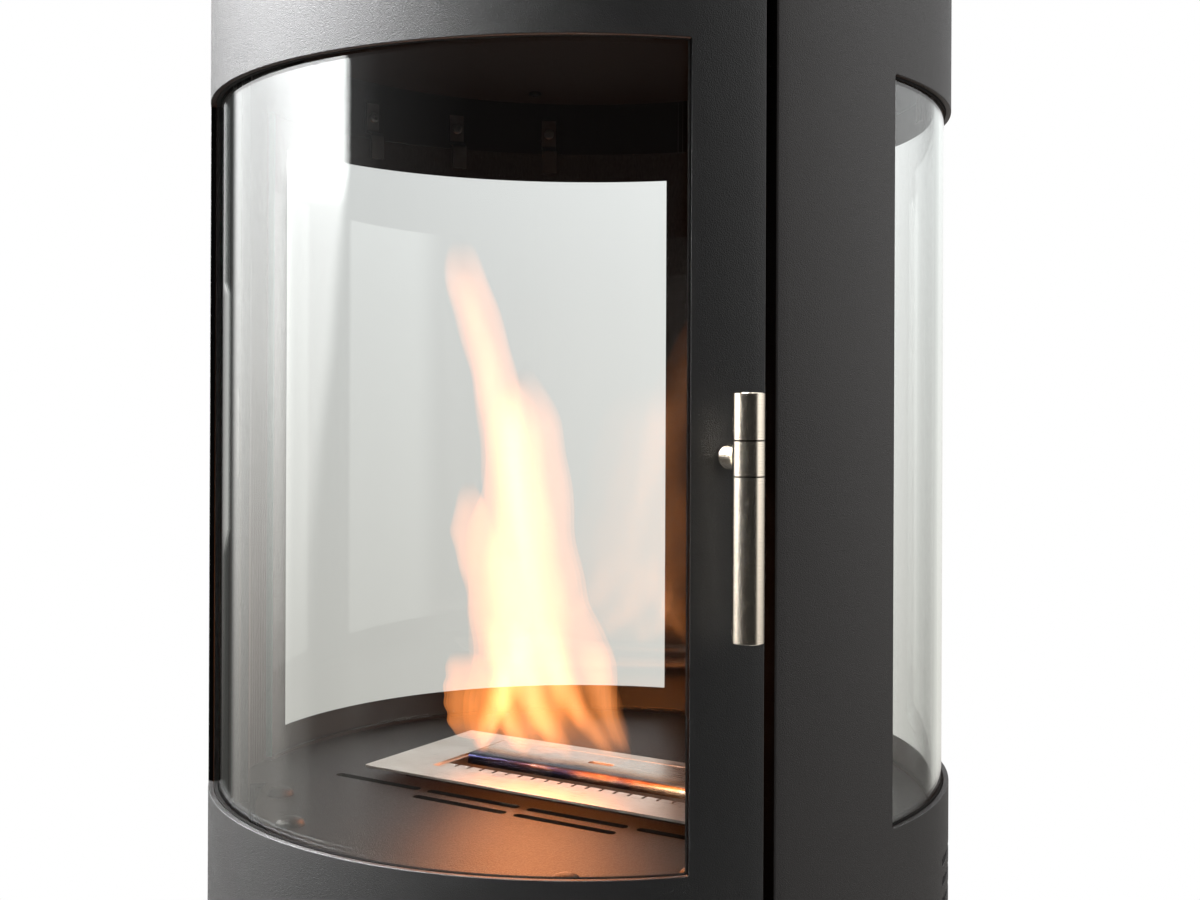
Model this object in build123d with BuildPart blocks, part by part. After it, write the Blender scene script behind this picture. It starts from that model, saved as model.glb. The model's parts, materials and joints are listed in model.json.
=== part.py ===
from build123d import *
import math
import os

# Free-standing bioethanol fireplace: a round steel casing with three curved panes, a full-height
# hinged door with a turning handle, and a lift-out burner with a sliding lid.
#
# Millimetres, +Z up. The origin is on the floor, on the axis of the round casing. The door faces
# -Y. Angles are counted from the front, positive towards the right-hand side (+X).

# ------------------------------------------------------------------ casing
total_height = 1030.0
shell_radius = 215.0  # outside of the casing and of the door
sheet = 3.0  # rolled steel of casing and door
plate = 4.0  # base plate and top plate
plinth_height = 26.0
plinth_recess = 20.0  # foot ring inside the casing's outline
plinth_sheet = 3.0
plinth_flange = 22.0
edge_break = 0.8  # chamfer on the top plate's rim
fold_depth = 12.5  # casing edges folded in beside the door

# ------------------------------------------------------------------ windows and glass
door_window_drop = 103.0  # top of the door's window below the top of the casing
door_window_height = 382.0
door_stile = 37.9  # door beside its window, along the curve
side_window_drop = 105.1
side_window_height = 376.5
side_post = 81.1  # casing between the door and a side window, along the curve
back_post = 54.0  # casing from the middle of the back to a side window
window_corner = 2.0
glass = 5.0
door_glass_gap = 4.0  # between the door sheet and its pane
door_glass_lap = 11.0  # pane behind the edge of the opening
side_glass_gap = 1.0
side_glass_lap = 20.0
side_glass_top_lap = 18.7
seal_lip = 1.2  # seal that shows inside the edge of an opening
rest_strip = 2.0  # soft strip under the side panes

# ------------------------------------------------------------------ door
door_half_angle = 55.7
door_gap = 5.6  # beside the door
door_end_gap = 3.0  # above and below the door
door_fold_depth = 8.0
rail_thickness = 4.0
rail_depth = 22.0
rail_end_gap = 2.0  # rail ends short of the folded edges
sill_drop = 6.0  # door's inner sill below the edge of its pane
sill_depth = 19.0
sill_end_gap = 21.0  # sill ends short of the door's edges

# ------------------------------------------------------------------ hinge
hinge_depth = 9.0  # hinge axis inside the casing's outline
hinge_inset = 10.0  # hinge axis from the door's edge, along the curve
pin_radius = 4.0
pin_collar_radius = 7.0
pin_reach = 3.0  # pin past the rail
running_gap = 0.3
bearing_clearance = 0.08  # on the radius

# ------------------------------------------------------------------ fire chamber
floor_drop = 13.3  # floor below the lower edge of the door's window
floor_sheet = 3.0
front_clearance = 26.0  # floor and shield stay this far inside the door's outline
ceiling_drop = 53.3  # baffle below the top of the casing
baffle_gap = 25.0  # air gap round the baffle
baffle_sheet = 2.0
post_inset = 37.0  # posts from the baffle's rim
post_radius = 5.0
shield_gap = 33.0  # air gap under the burner's tank
shield_sheet = 3.0

slot_width = 6.0
slot_length = 65.5
slot_web = 5.6
slot_gap = 1.9  # first row of slots from the burner's tray
slot_row_pitch = 13.1

vent_width = 4.5
vent_length = 75.0
vent_pitch = 11.0
vent_rows = 6
vent_first_angle = 98.0
vent_drop = 36.1  # first row below a side window

top_slot_length = 46.0
top_slot_width = 6.0
top_slot_inset = 87.0  # middle of the slots from the rim
top_slot_count = 24

# ------------------------------------------------------------------ tabs, caps and clips
tab_width = 30.0
tab_reach = 20.0
tab_drop = 26.0
tab_sheet = 3.0
tab_angles = (72.0, 130.0, 180.0, 230.0, 288.0)
cap_radius = 8.0
cap_height = 4.5
cap_bevel = 1.8
cap_shank_radius = 3.0
cap_inset = 13.0  # caps from the front edge of the floor
cap_angles = (-50.6, -30.1, 30.1, 50.6)
hole_clearance = 0.15

clip_sheet = 1.8
clip_width = 10.5
clip_bend = 2.2
clip_base = 20.0  # flat of a clip on the sheet
clip_joggle = 5.0  # height in which it steps over the pane's edge
side_clip_angles = (103.0, 121.8, 141.0)
side_clip_lap = 14.0
door_clip_angles = (-38.0, 0.0, 38.0)
door_clip_lap = 6.5
clamp_height = 50.0
clamp_sheet = 1.8
clamp_base = 15.0
clamp_lap = 7.0
clamp_left_offset = 6.0  # left clamp above the handle's height
clamp_right_offset = 70.0  # right clamps above and below the handle

# ------------------------------------------------------------------ handle and latch
handle_stand_off = 20.5  # bar axis from the door's face
bar_radius = 7.2
collar_radius = 7.4
collar_height = 16.0
cap_length = 21.3
grip_length = 74.2
groove = 0.5  # chamfer either side of a joint in the bar
end_break = 0.7
spigot_radius = 4.0
spigot_length = 10.0
spigot_clearance = 0.05
neck_radius = 5.8  # round neck between door and bar
peg_radius = 3.5
spindle_radius = 4.0
bush_radius = 5.0
boss_radius = 6.0
cam_sheet = 4.0
cam_hub_radius = 8.5
cam_nose_radius = 3.5
latch_gap = 2.5  # between the cam's face and the keeper
latch_lap = 1.6  # cam's nose past the keeper's edge
nut_across = 13.0
nut_height = 5.0
thread_end = 2.5  # spindle past the nut
keeper_sheet = 2.5
keeper_height = 28.0
keeper_reach = 4.9  # keeper past the folded edge, towards the door
keeper_leg = 9.0

# ------------------------------------------------------------------ burner
tray_length = 243.0
tray_depth = 109.0
tray_height = 7.0
tray_sheet = 1.5
tray_bend = 1.0
tray_end = 35.5  # flat of the tray beside its opening
tray_front = 21.6
tray_back = 10.0
deck_sheet = 1.5
deck_rim = 2.0  # deck past the tank's wall
ledge = 13.9  # deck in front of the flame slot
flame_inset = 2.0  # flame slot inside the tray's opening at either end
flame_width = 26.6
flame_wall = 1.0
comb_pitch = 9.45
comb_width = 1.8
comb_depth = 5.0
comb_margin = 6.0
tank_overhang = 10.0  # tank past the tray's opening at either end
tank_front_overhang = 3.1
tank_back_overhang = 3.5
tank_depth = 64.7
tank_wall = 1.2
tank_bend = 3.0
tank_clearance = 1.5
wool_drop = 7.7  # wool below the tank's rim
wool_clearance = 0.3
lid_sheet = 1.2
lid_side_gap = 0.7
lid_back_gap = 0.6
lid_lap = 6.6  # lid past the back edge of the flame slot
lid_lip_drop = 6.0
lid_lip_radius = 5.0
lid_lip_inset = 2.3
lid_slot_length = 18.0
lid_slot_width = 5.0

# ------------------------------------------------------------------ clearances
seat = 0.2  # welded or screwed pieces from the sheet that carries them
soft_seat = 0.1  # seals from what they press on


def along_curve(length, radius):
    """Angle, in degrees, of a length measured along a curve of this radius."""
    return math.degrees(length / radius)


# ------------------------------------------------------------------ derived radii and angles
full_turn = 360.0
half_turn = full_turn / 2
shell_inner = shell_radius - sheet
plinth_radius = shell_radius - plinth_recess
fold_inner = shell_inner - fold_depth
jamb_angle = door_half_angle + along_curve(door_gap, shell_radius)
jamb_back = jamb_angle + along_curve(sheet, fold_inner)
window_half_angle = door_half_angle - along_curve(door_stile, shell_radius)
side_window_start = jamb_angle + along_curve(side_post, shell_radius)
side_window_end = half_turn - along_curve(back_post, shell_radius)
door_fold_inner = shell_inner - door_fold_depth
door_fold_angle = along_curve(sheet, door_fold_inner)
door_glass_outer = shell_inner - door_glass_gap
door_glass_inner = door_glass_outer - glass
door_glass_half = window_half_angle + along_curve(door_glass_lap, door_glass_outer)
side_glass_outer = shell_inner - side_glass_gap
side_glass_inner = side_glass_outer - glass
side_glass_start = side_window_start - along_curve(side_glass_lap, side_glass_outer)
side_glass_end = side_window_end + along_curve(side_glass_lap, side_glass_outer)
plate_radius = shell_inner - seat
notch_angle = jamb_back + along_curve(3 * running_gap, fold_inner)
front_clear_radius = shell_radius - front_clearance
baffle_radius = shell_inner - baffle_gap
post_distance = baffle_radius - post_inset
cap_distance = front_clear_radius - cap_inset
top_slot_distance = shell_radius - top_slot_inset
hinge_radius = shell_radius - hinge_depth
hinge_angle = along_curve(hinge_inset, hinge_radius) - door_half_angle
handle_angle = (window_half_angle + door_half_angle) / 2
handle_axis_radius = shell_radius + handle_stand_off
keeper_outer = fold_inner
keeper_inner = keeper_outer - keeper_sheet
keeper_front = jamb_angle - along_curve(keeper_reach, keeper_inner)
cam_face = keeper_inner - latch_gap
cam_back = cam_face - cam_sheet
cam_nose_reach = cam_face * math.tan(math.radians(keeper_front - handle_angle)) + latch_lap
nut_back = cam_back - nut_height
nut_radius = nut_across / 2 / math.cos(math.radians(half_turn / 6))

# ------------------------------------------------------------------ derived heights
shell_bottom = plinth_height + plate
shell_top = total_height - plate
door_bottom = shell_bottom + door_end_gap
door_top = shell_top - door_end_gap
window_top = total_height - door_window_drop
window_sill = window_top - door_window_height
side_window_top = total_height - side_window_drop
side_window_sill = side_window_top - side_window_height
door_glass_bottom = window_sill - door_glass_lap
door_glass_top = window_top + door_glass_lap
sill_height = door_glass_bottom - sill_drop - sheet
ceiling_height = total_height - ceiling_drop
floor_top = window_sill - floor_drop
floor_bottom = floor_top - floor_sheet
side_glass_bottom = floor_top + rest_strip
side_glass_top = side_window_top + side_glass_top_lap
vent_top = side_window_sill - vent_drop
tray_top = floor_top + tray_height
deck_top = tray_top - tray_sheet
tank_top = deck_top - deck_sheet
tank_bottom = tank_top - tank_depth
wool_top = tank_top - wool_drop
shield_height = tank_bottom - shield_gap - shield_sheet
handle_height = (window_sill + window_top) / 2
collar_bottom = handle_height - collar_height / 2
collar_top = handle_height + collar_height / 2

# ------------------------------------------------------------------ derived places in the burner
opening_length = tray_length - 2 * tray_end
opening_front = tray_front - tray_depth / 2
opening_back = tray_depth / 2 - tray_back
flame_length = opening_length - 2 * flame_inset
flame_front = opening_front + ledge
flame_back = flame_front + flame_width
comb_count = int((flame_length - comb_margin) / comb_pitch)
tank_length = opening_length + 2 * tank_overhang
tank_front = opening_front - tank_front_overhang
tank_back = opening_back + tank_back_overhang
tank_middle = (tank_front + tank_back) / 2
lid_front = flame_back - lid_lap
lid_back = opening_back - lid_back_gap
slot_row_distance = tray_depth / 2 + slot_gap + slot_width / 2
slot_step = slot_length + slot_web
clip_seat = seat + clip_sheet / 2
clip_notch = 2 * clip_sheet  # depth of the notches that let the clips pass the door's sill


# ------------------------------------------------------------------ drawing helpers
def spot(angle, radius):
    """Point at an angle from the front."""
    turn = math.radians(angle)
    return radius * math.sin(turn), -radius * math.cos(turn)


def facing(angle, distance, height):
    """Plane that looks straight out of the casing: its x runs along the wall, its y runs up."""
    turn = math.radians(angle)
    x, y = spot(angle, distance)
    outward = (math.sin(turn), -math.cos(turn), 0)
    along = (math.cos(turn), math.sin(turn), 0)
    return Plane(origin=(x, y, height), x_dir=along, z_dir=outward)


def upright(angle, height=0.0, distance=0.0):
    """Plane that cuts the wall: its x runs out from the casing's axis, its y runs down."""
    turn = math.radians(angle)
    x, y = spot(angle, distance)
    outward = (math.sin(turn), -math.cos(turn), 0)
    along = (math.cos(turn), math.sin(turn), 0)
    return Plane(origin=(x, y, height), x_dir=outward, z_dir=along)


def band(inner, outer, first, last, mode=Mode.ADD):
    """Sector of a ring, drawn in the current sketch."""
    with BuildLine() as outline:
        near = CenterArc((0, 0), inner, first - 90, last - first)
        far = CenterArc((0, 0), outer, first - 90, last - first)
        Line(near @ 0, far @ 0)
        Line(near @ 1, far @ 1)
    make_face(outline.edges(), mode=mode)


def frame_band(inner, outer, edges, opening):
    """Curved frame: a ring sector with a window cut through it. Both are (first, last, low, high)."""
    first, last, low, high = edges
    with BuildSketch(Plane.XY.offset(low)) as outline:
        band(inner, outer, first, last)
    extrude(outline.sketch, amount=high - low)
    first, last, low, high = opening
    with BuildSketch(Plane.XY.offset(low)) as window:
        band(inner - sheet, outer + sheet, first, last)
    extrude(window.sketch, amount=high - low, mode=Mode.SUBTRACT)


def window_corners(part, low, high):
    """Short edges through the sheet at the corners of a window."""

    def at_corner(edge):
        middle = edge.center().Z
        return edge.length < sheet * 1.01 and min(abs(middle - low), abs(middle - high)) < 0.01

    return part.edges().filter_by(GeomType.LINE).filter_by(at_corner)


def wall_tabs(top, angles, reach):
    """Angle brackets inside the casing, whose upper faces lie at one height."""
    half = along_curve(tab_width / 2, shell_inner)
    outer = shell_inner - seat
    for angle in angles:
        with BuildSketch(Plane.XY.offset(top - tab_sheet)) as level:
            band(outer - reach, outer, angle - half, angle + half)
        extrude(level.sketch, amount=tab_sheet)
        with BuildSketch(Plane.XY.offset(top - tab_drop)) as drop:
            band(outer - tab_sheet, outer, angle - half, angle + half)
        extrude(drop.sketch, amount=tab_drop)


def glass_clip(angle, pane_inner, pane_edge, lap, upward):
    """Bent strap: flat on the sheet past the pane's edge, then a step, then a lip over the pane."""
    way = 1 if upward else -1
    wall = shell_inner - clip_seat
    lip = pane_inner - clip_seat
    step = pane_edge + way * (seat + clip_joggle)
    points = [
        (wall, -(step + way * clip_base)),
        (wall, -step),
        (lip, -(pane_edge + way * (seat + clip_sheet))),
        (lip, -(pane_edge - way * lap)),
    ]
    with BuildSketch(upright(angle)) as strap:
        with BuildLine():
            FilletPolyline(*points, radius=clip_bend)
        trace(line_width=clip_sheet)
    extrude(strap.sketch, amount=clip_width / 2, both=True)


# ------------------------------------------------------------------ base and casing
with BuildPart() as plinth:
    with BuildSketch(Plane.XZ):
        with BuildLine():
            Polyline(
                (plinth_radius - plinth_flange, 0),
                (plinth_radius, 0),
                (plinth_radius, plinth_height),
                (plinth_radius - plinth_flange, plinth_height),
                (plinth_radius - plinth_flange, plinth_height - plinth_sheet),
                (plinth_radius - plinth_sheet, plinth_height - plinth_sheet),
                (plinth_radius - plinth_sheet, plinth_sheet),
                (plinth_radius - plinth_flange, plinth_sheet),
                close=True,
            )
        make_face()
    revolve(axis=Axis.Z)
plinth.part.label = "plinth"

with BuildPart() as base_plate:
    with BuildSketch(Plane.XY.offset(plinth_height)):
        Circle(shell_radius)
    extrude(amount=plate)
base_plate.part.label = "base_plate"

vent_sagitta = shell_inner - math.sqrt(shell_inner**2 - (vent_length / 2) ** 2)
vent_angle = vent_first_angle + along_curve(vent_length / 2, shell_radius)
vent_middle = vent_top - vent_pitch * (vent_rows - 1) / 2

with BuildPart() as body_shell:
    with BuildSketch(Plane.XY.offset(shell_bottom)):
        band(shell_inner, shell_radius, jamb_angle, full_turn - jamb_angle)
        band(fold_inner, shell_inner, jamb_angle, jamb_back)
        band(fold_inner, shell_inner, -jamb_back, -jamb_angle)
    extrude(amount=shell_top - shell_bottom)
    with BuildSketch(Plane.XY.offset(side_window_sill)):
        band(fold_inner, shell_radius + sheet, side_window_start, side_window_end)
        band(fold_inner, shell_radius + sheet, -side_window_end, -side_window_start)
    extrude(amount=side_window_height, mode=Mode.SUBTRACT)
    fillet(window_corners(body_shell.part, side_window_sill, side_window_top), window_corner)
    for side_angle in (vent_angle, -vent_angle):
        with BuildSketch(facing(side_angle, shell_radius + sheet, vent_middle)):
            with GridLocations(0, vent_pitch, 1, vent_rows):
                SlotOverall(vent_length, vent_width)
        extrude(amount=-(3 * sheet + vent_sagitta), mode=Mode.SUBTRACT)
body_shell.part.label = "body_shell"

with BuildPart() as top_plate:
    with BuildSketch(Plane.XY.offset(shell_top)):
        Circle(shell_radius)
        with PolarLocations(top_slot_distance, top_slot_count):
            Rectangle(top_slot_length, top_slot_width, mode=Mode.SUBTRACT)
    extrude(amount=plate)
    rim = top_plate.edges().group_by(Axis.Z)[-1].sort_by(SortBy.LENGTH)[-1]
    chamfer(rim, edge_break)
top_plate.part.label = "top_plate"

with BuildPart() as top_tabs:
    wall_tabs(shell_top - seat, tab_angles, tab_reach)
top_tabs.part.label = "top_tabs"

# ------------------------------------------------------------------ heat baffle below the top
with BuildPart() as heat_baffle:
    with BuildSketch(Plane.XY.offset(ceiling_height)):
        Circle(baffle_radius)
    extrude(amount=baffle_sheet)
heat_baffle.part.label = "heat_baffle"

baffle_top = ceiling_height + baffle_sheet
with BuildPart() as baffle_posts:
    with BuildSketch(Plane.XY.offset(baffle_top)):
        with PolarLocations(post_distance, 4, start_angle=half_turn / 4):
            Circle(post_radius)
    extrude(amount=shell_top - baffle_top)
baffle_posts.part.label = "baffle_posts"

# ------------------------------------------------------------------ chamber floor
def round_plate_with_door_notch():
    """Disc that fills the casing and stays clear of the door and the folded edges."""
    Circle(plate_radius)
    band(front_clear_radius, shell_radius, -notch_angle, notch_angle, mode=Mode.SUBTRACT)


with BuildPart() as chamber_floor:
    with BuildSketch(Plane.XY.offset(floor_bottom)):
        round_plate_with_door_notch()
        with Locations((0, tank_middle)):
            Rectangle(
                tank_length + 2 * tank_clearance,
                tank_back - tank_front + 2 * tank_clearance,
                mode=Mode.SUBTRACT,
            )
        with Locations((0, -slot_row_distance)):
            with GridLocations(slot_step, 0, 4, 1):
                SlotOverall(slot_length, slot_width, mode=Mode.SUBTRACT)
        with Locations((0, -slot_row_distance - slot_row_pitch)):
            with GridLocations(slot_step, 0, 2, 1):
                SlotOverall(slot_length, slot_width, mode=Mode.SUBTRACT)
        with Locations(*[spot(angle, cap_distance) for angle in cap_angles]):
            Circle(cap_shank_radius + hole_clearance, mode=Mode.SUBTRACT)
    extrude(amount=floor_sheet)
chamber_floor.part.label = "chamber_floor"

with BuildPart() as floor_caps:
    with BuildSketch(Plane.XY.offset(floor_top)):
        with Locations(*[spot(angle, cap_distance) for angle in cap_angles]):
            Circle(cap_radius)
    extrude(amount=cap_height)
    chamfer(floor_caps.edges().group_by(Axis.Z)[-1], cap_bevel)
    with BuildSketch(Plane.XY.offset(floor_top)):
        with Locations(*[spot(angle, cap_distance) for angle in cap_angles]):
            Circle(cap_shank_radius)
    extrude(amount=-2 * floor_sheet)
floor_caps.part.label = "floor_caps"

with BuildPart() as floor_tabs:
    wall_tabs(floor_bottom, tab_angles, tab_reach)
floor_tabs.part.label = "floor_tabs"

with BuildPart() as heat_shield:
    with BuildSketch(Plane.XY.offset(shield_height)):
        round_plate_with_door_notch()
    extrude(amount=shield_sheet)
heat_shield.part.label = "heat_shield"

with BuildPart() as shield_tabs:
    wall_tabs(shield_height, tab_angles, tab_reach)
shield_tabs.part.label = "shield_tabs"


# ------------------------------------------------------------------ side panes
def side_pane(first, last):
    """Curved pane inside the casing."""
    with BuildSketch(Plane.XY.offset(side_glass_bottom)) as pane:
        band(side_glass_inner, side_glass_outer, first, last)
    extrude(pane.sketch, amount=side_glass_top - side_glass_bottom)


def side_seal(first, last, opening_first, opening_last):
    """Flat seal between casing and pane, with the soft strip that the pane stands on."""
    lip_angle = along_curve(seal_lip, side_glass_outer)
    frame_band(
        side_glass_outer + soft_seat,
        shell_inner - soft_seat,
        (first, last, floor_top, side_glass_top),
        (
            opening_first + lip_angle,
            opening_last - lip_angle,
            side_window_sill + seal_lip,
            side_window_top - seal_lip,
        ),
    )
    with BuildSketch(Plane.XY.offset(floor_top)) as strip:
        band(side_glass_inner, shell_inner - soft_seat, first, last)
    extrude(strip.sketch, amount=rest_strip - soft_seat)


with BuildPart() as side_glass_right:
    side_pane(side_glass_start, side_glass_end)
side_glass_right.part.label = "side_glass_right"

with BuildPart() as side_glass_left:
    side_pane(-side_glass_end, -side_glass_start)
side_glass_left.part.label = "side_glass_left"

with BuildPart() as side_seal_right:
    side_seal(side_glass_start, side_glass_end, side_window_start, side_window_end)
side_seal_right.part.label = "side_seal_right"

with BuildPart() as side_seal_left:
    side_seal(-side_glass_end, -side_glass_start, -side_window_end, -side_window_start)
side_seal_left.part.label = "side_seal_left"

both_sides = [*side_clip_angles, *[-angle for angle in side_clip_angles]]

with BuildPart() as side_clips:
    for clip_angle in both_sides:
        glass_clip(clip_angle, side_glass_inner, side_glass_top, side_clip_lap, True)
side_clips.part.label = "side_clips"

# ------------------------------------------------------------------ hinge pins and latch keeper
hinge_x, hinge_y = spot(hinge_angle, hinge_radius)


def hinge_pin(root, way):
    """Shouldered pin: a collar on the plate, then the shaft that turns in the door's rail."""
    with BuildSketch(Plane.XY.offset(root)) as collar:
        with Locations((hinge_x, hinge_y)):
            Circle(pin_collar_radius)
    extrude(collar.sketch, amount=way * (door_end_gap - running_gap))
    with BuildSketch(Plane.XY.offset(root)) as shaft:
        with Locations((hinge_x, hinge_y)):
            Circle(pin_radius)
    extrude(shaft.sketch, amount=way * (door_end_gap + rail_thickness + pin_reach))


with BuildPart() as hinge_pin_lower:
    hinge_pin(shell_bottom, 1)
    chamfer(hinge_pin_lower.edges().group_by(Axis.Z)[-1], end_break)
hinge_pin_lower.part.label = "hinge_pin_lower"

with BuildPart() as hinge_pin_upper:
    hinge_pin(shell_top, -1)
    chamfer(hinge_pin_upper.edges().group_by(Axis.Z)[0], end_break)
hinge_pin_upper.part.label = "hinge_pin_upper"

keeper_leg_start = jamb_back + along_curve(soft_seat, fold_inner)
keeper_leg_end = keeper_leg_start + along_curve(keeper_sheet, keeper_outer)

with BuildPart() as latch_keeper:
    with BuildSketch(Plane.XY.offset(handle_height - keeper_height / 2)):
        band(keeper_inner, keeper_outer - soft_seat, keeper_front, keeper_leg_end)
        band(keeper_inner, keeper_outer + keeper_leg, keeper_leg_start, keeper_leg_end)
    extrude(amount=keeper_height)
latch_keeper.part.label = "latch_keeper"

# ------------------------------------------------------------------ door
with BuildPart() as door_leaf:
    with BuildSketch(Plane.XY.offset(door_bottom)):
        band(shell_inner, shell_radius, -door_half_angle, door_half_angle)
        band(door_fold_inner, shell_inner, door_half_angle - door_fold_angle, door_half_angle)
        band(door_fold_inner, shell_inner, -door_half_angle, door_fold_angle - door_half_angle)
    extrude(amount=door_top - door_bottom)
    with BuildSketch(Plane.XY.offset(window_sill)):
        band(door_fold_inner, shell_radius + sheet, -window_half_angle, window_half_angle)
    extrude(amount=door_window_height, mode=Mode.SUBTRACT)
    fillet(window_corners(door_leaf.part, window_sill, window_top), window_corner)
    with BuildSketch(facing(handle_angle, shell_radius + sheet, handle_height)):
        Circle(bush_radius)
    extrude(amount=-4 * sheet, mode=Mode.SUBTRACT)
door_leaf.part.label = "door_leaf"

rail_outer = shell_inner - seat
rail_half = door_half_angle - door_fold_angle - along_curve(rail_end_gap, rail_outer)
sill_half_angle = door_half_angle - along_curve(sill_end_gap, rail_outer)


def door_rail(height):
    """Curved stiffener across the door, with the bearing hole for the hinge pin."""
    with BuildSketch(Plane.XY.offset(height)) as rail:
        band(rail_outer - rail_depth, rail_outer, -rail_half, rail_half)
        with Locations((hinge_x, hinge_y)):
            Circle(pin_radius + bearing_clearance, mode=Mode.SUBTRACT)
    extrude(rail.sketch, amount=rail_thickness)


with BuildPart() as door_rail_bottom:
    door_rail(door_bottom)
door_rail_bottom.part.label = "door_rail_bottom"

with BuildPart() as door_rail_top:
    door_rail(door_top - rail_thickness)
door_rail_top.part.label = "door_rail_top"

with BuildPart() as door_sill:
    with BuildSketch(Plane.XY.offset(sill_height)):
        band(rail_outer - sill_depth, rail_outer, -sill_half_angle, sill_half_angle)
        notch_half = along_curve(clip_width / 2 + seat, rail_outer)
        for clip_angle in door_clip_angles:
            notch = (clip_angle - notch_half, clip_angle + notch_half)
            band(rail_outer - clip_notch, shell_radius, *notch, mode=Mode.SUBTRACT)
    extrude(amount=sheet)
door_sill.part.label = "door_sill"

with BuildPart() as door_glass:
    with BuildSketch(Plane.XY.offset(door_glass_bottom)):
        band(door_glass_inner, door_glass_outer, -door_glass_half, door_glass_half)
    extrude(amount=door_glass_top - door_glass_bottom)
door_glass.part.label = "door_glass"

with BuildPart() as door_seal:
    lip_half = window_half_angle - along_curve(seal_lip, door_glass_outer)
    frame_band(
        door_glass_outer + soft_seat,
        shell_inner - soft_seat,
        (-door_glass_half, door_glass_half, door_glass_bottom, door_glass_top),
        (-lip_half, lip_half, window_sill + seal_lip, window_top - seal_lip),
    )
door_seal.part.label = "door_seal"

with BuildPart() as door_clips:
    for clip_angle in door_clip_angles:
        glass_clip(clip_angle, door_glass_inner, door_glass_top, door_clip_lap, True)
        glass_clip(clip_angle, door_glass_inner, door_glass_bottom, door_clip_lap, False)
door_clips.part.label = "door_clips"

clamp_places = (
    (-1, handle_height + clamp_left_offset),
    (1, handle_height - clamp_right_offset),
    (1, handle_height + clamp_right_offset),
)
clamp_riser = door_glass_half + along_curve(2 * seat, door_glass_inner)
clamp_riser_end = clamp_riser + along_curve(clamp_sheet, door_glass_inner)
clamp_foot = clamp_riser + along_curve(clamp_base, shell_inner)
clamp_lip = door_glass_half - along_curve(clamp_lap, door_glass_inner)
clamp_outer = shell_inner - seat
clamp_lip_outer = door_glass_inner - seat
clamp_lip_inner = clamp_lip_outer - clamp_sheet


def clamp_band(hand, inner, outer, near, far):
    """One leaf of a clamp, on the left (-1) or right (1) side of the door."""
    if hand > 0:
        band(inner, outer, near, far)
    else:
        band(inner, outer, -far, -near)


with BuildPart() as glass_clamps:
    for hand, height in clamp_places:
        with BuildSketch(Plane.XY.offset(height - clamp_height / 2)):
            clamp_band(hand, clamp_outer - clamp_sheet, clamp_outer, clamp_riser, clamp_foot)
            clamp_band(hand, clamp_lip_inner, clamp_outer, clamp_riser, clamp_riser_end)
            clamp_band(hand, clamp_lip_inner, clamp_lip_outer, clamp_lip, clamp_riser_end)
        extrude(amount=clamp_height)
glass_clamps.part.label = "glass_clamps"

with BuildPart() as handle_bush:
    with BuildSketch(facing(handle_angle, cam_face + running_gap, handle_height)):
        Circle(boss_radius)
    extrude(amount=shell_inner - seat - cam_face - running_gap)
    with BuildSketch(facing(handle_angle, cam_face + running_gap, handle_height)):
        Circle(bush_radius - soft_seat)
    extrude(amount=shell_radius - cam_face - running_gap)
    with BuildSketch(facing(handle_angle, cam_face, handle_height)):
        Circle(spindle_radius + bearing_clearance)
    extrude(amount=shell_radius, mode=Mode.SUBTRACT)
handle_bush.part.label = "handle_bush"

# ------------------------------------------------------------------ handle
bar_x, bar_y = spot(handle_angle, handle_axis_radius)
neck_base = shell_radius + running_gap


def bar_piece(low, high, radius):
    """Round piece of the upright bar."""
    with BuildSketch(Plane.XY.offset(low)) as section:
        with Locations((bar_x, bar_y)):
            Circle(radius)
    extrude(section.sketch, amount=high - low)


def bar_bore(low, high):
    """Bore that takes a spigot of the collar."""
    with BuildSketch(Plane.XY.offset(low)) as bore:
        with Locations((bar_x, bar_y)):
            Circle(spigot_radius + spigot_clearance)
    extrude(bore.sketch, amount=high - low, mode=Mode.SUBTRACT)


with BuildPart() as handle_collar:
    bar_piece(collar_bottom, collar_top, collar_radius)
    chamfer(handle_collar.edges().filter_by(GeomType.CIRCLE), groove)
    bar_piece(collar_bottom - spigot_length, collar_top + spigot_length, spigot_radius)
    with BuildSketch(facing(handle_angle, shell_radius, handle_height)):
        Circle(peg_radius + spigot_clearance)
    extrude(amount=handle_stand_off, mode=Mode.SUBTRACT)
handle_collar.part.label = "handle_collar"

with BuildPart() as handle_cap:
    bar_piece(collar_top, collar_top + cap_length, bar_radius)
    chamfer(handle_cap.edges().group_by(Axis.Z)[0], groove)
    chamfer(handle_cap.edges().group_by(Axis.Z)[-1], end_break)
    bar_bore(collar_top, collar_top + spigot_length + running_gap)
handle_cap.part.label = "handle_cap"

with BuildPart() as handle_grip:
    bar_piece(collar_bottom - grip_length, collar_bottom, bar_radius)
    chamfer(handle_grip.edges().group_by(Axis.Z)[-1], groove)
    chamfer(handle_grip.edges().group_by(Axis.Z)[0], end_break)
    bar_bore(collar_bottom - spigot_length - running_gap, collar_bottom)
handle_grip.part.label = "handle_grip"

with BuildPart() as handle_post:
    with BuildSketch(facing(handle_angle, neck_base, handle_height)):
        Circle(neck_radius)
    extrude(amount=handle_axis_radius - neck_base)
    with BuildSketch(Plane.XY.offset(collar_bottom)):
        with Locations((bar_x, bar_y)):
            Circle(collar_radius + soft_seat)
    extrude(amount=collar_height, mode=Mode.SUBTRACT)
    with BuildSketch(facing(handle_angle, neck_base, handle_height)):
        Circle(peg_radius)
    extrude(amount=handle_stand_off - running_gap - soft_seat)
    with BuildSketch(facing(handle_angle, nut_back - thread_end, handle_height)):
        Circle(spindle_radius)
    extrude(amount=neck_base - nut_back + thread_end)
handle_post.part.label = "handle_post"

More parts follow.
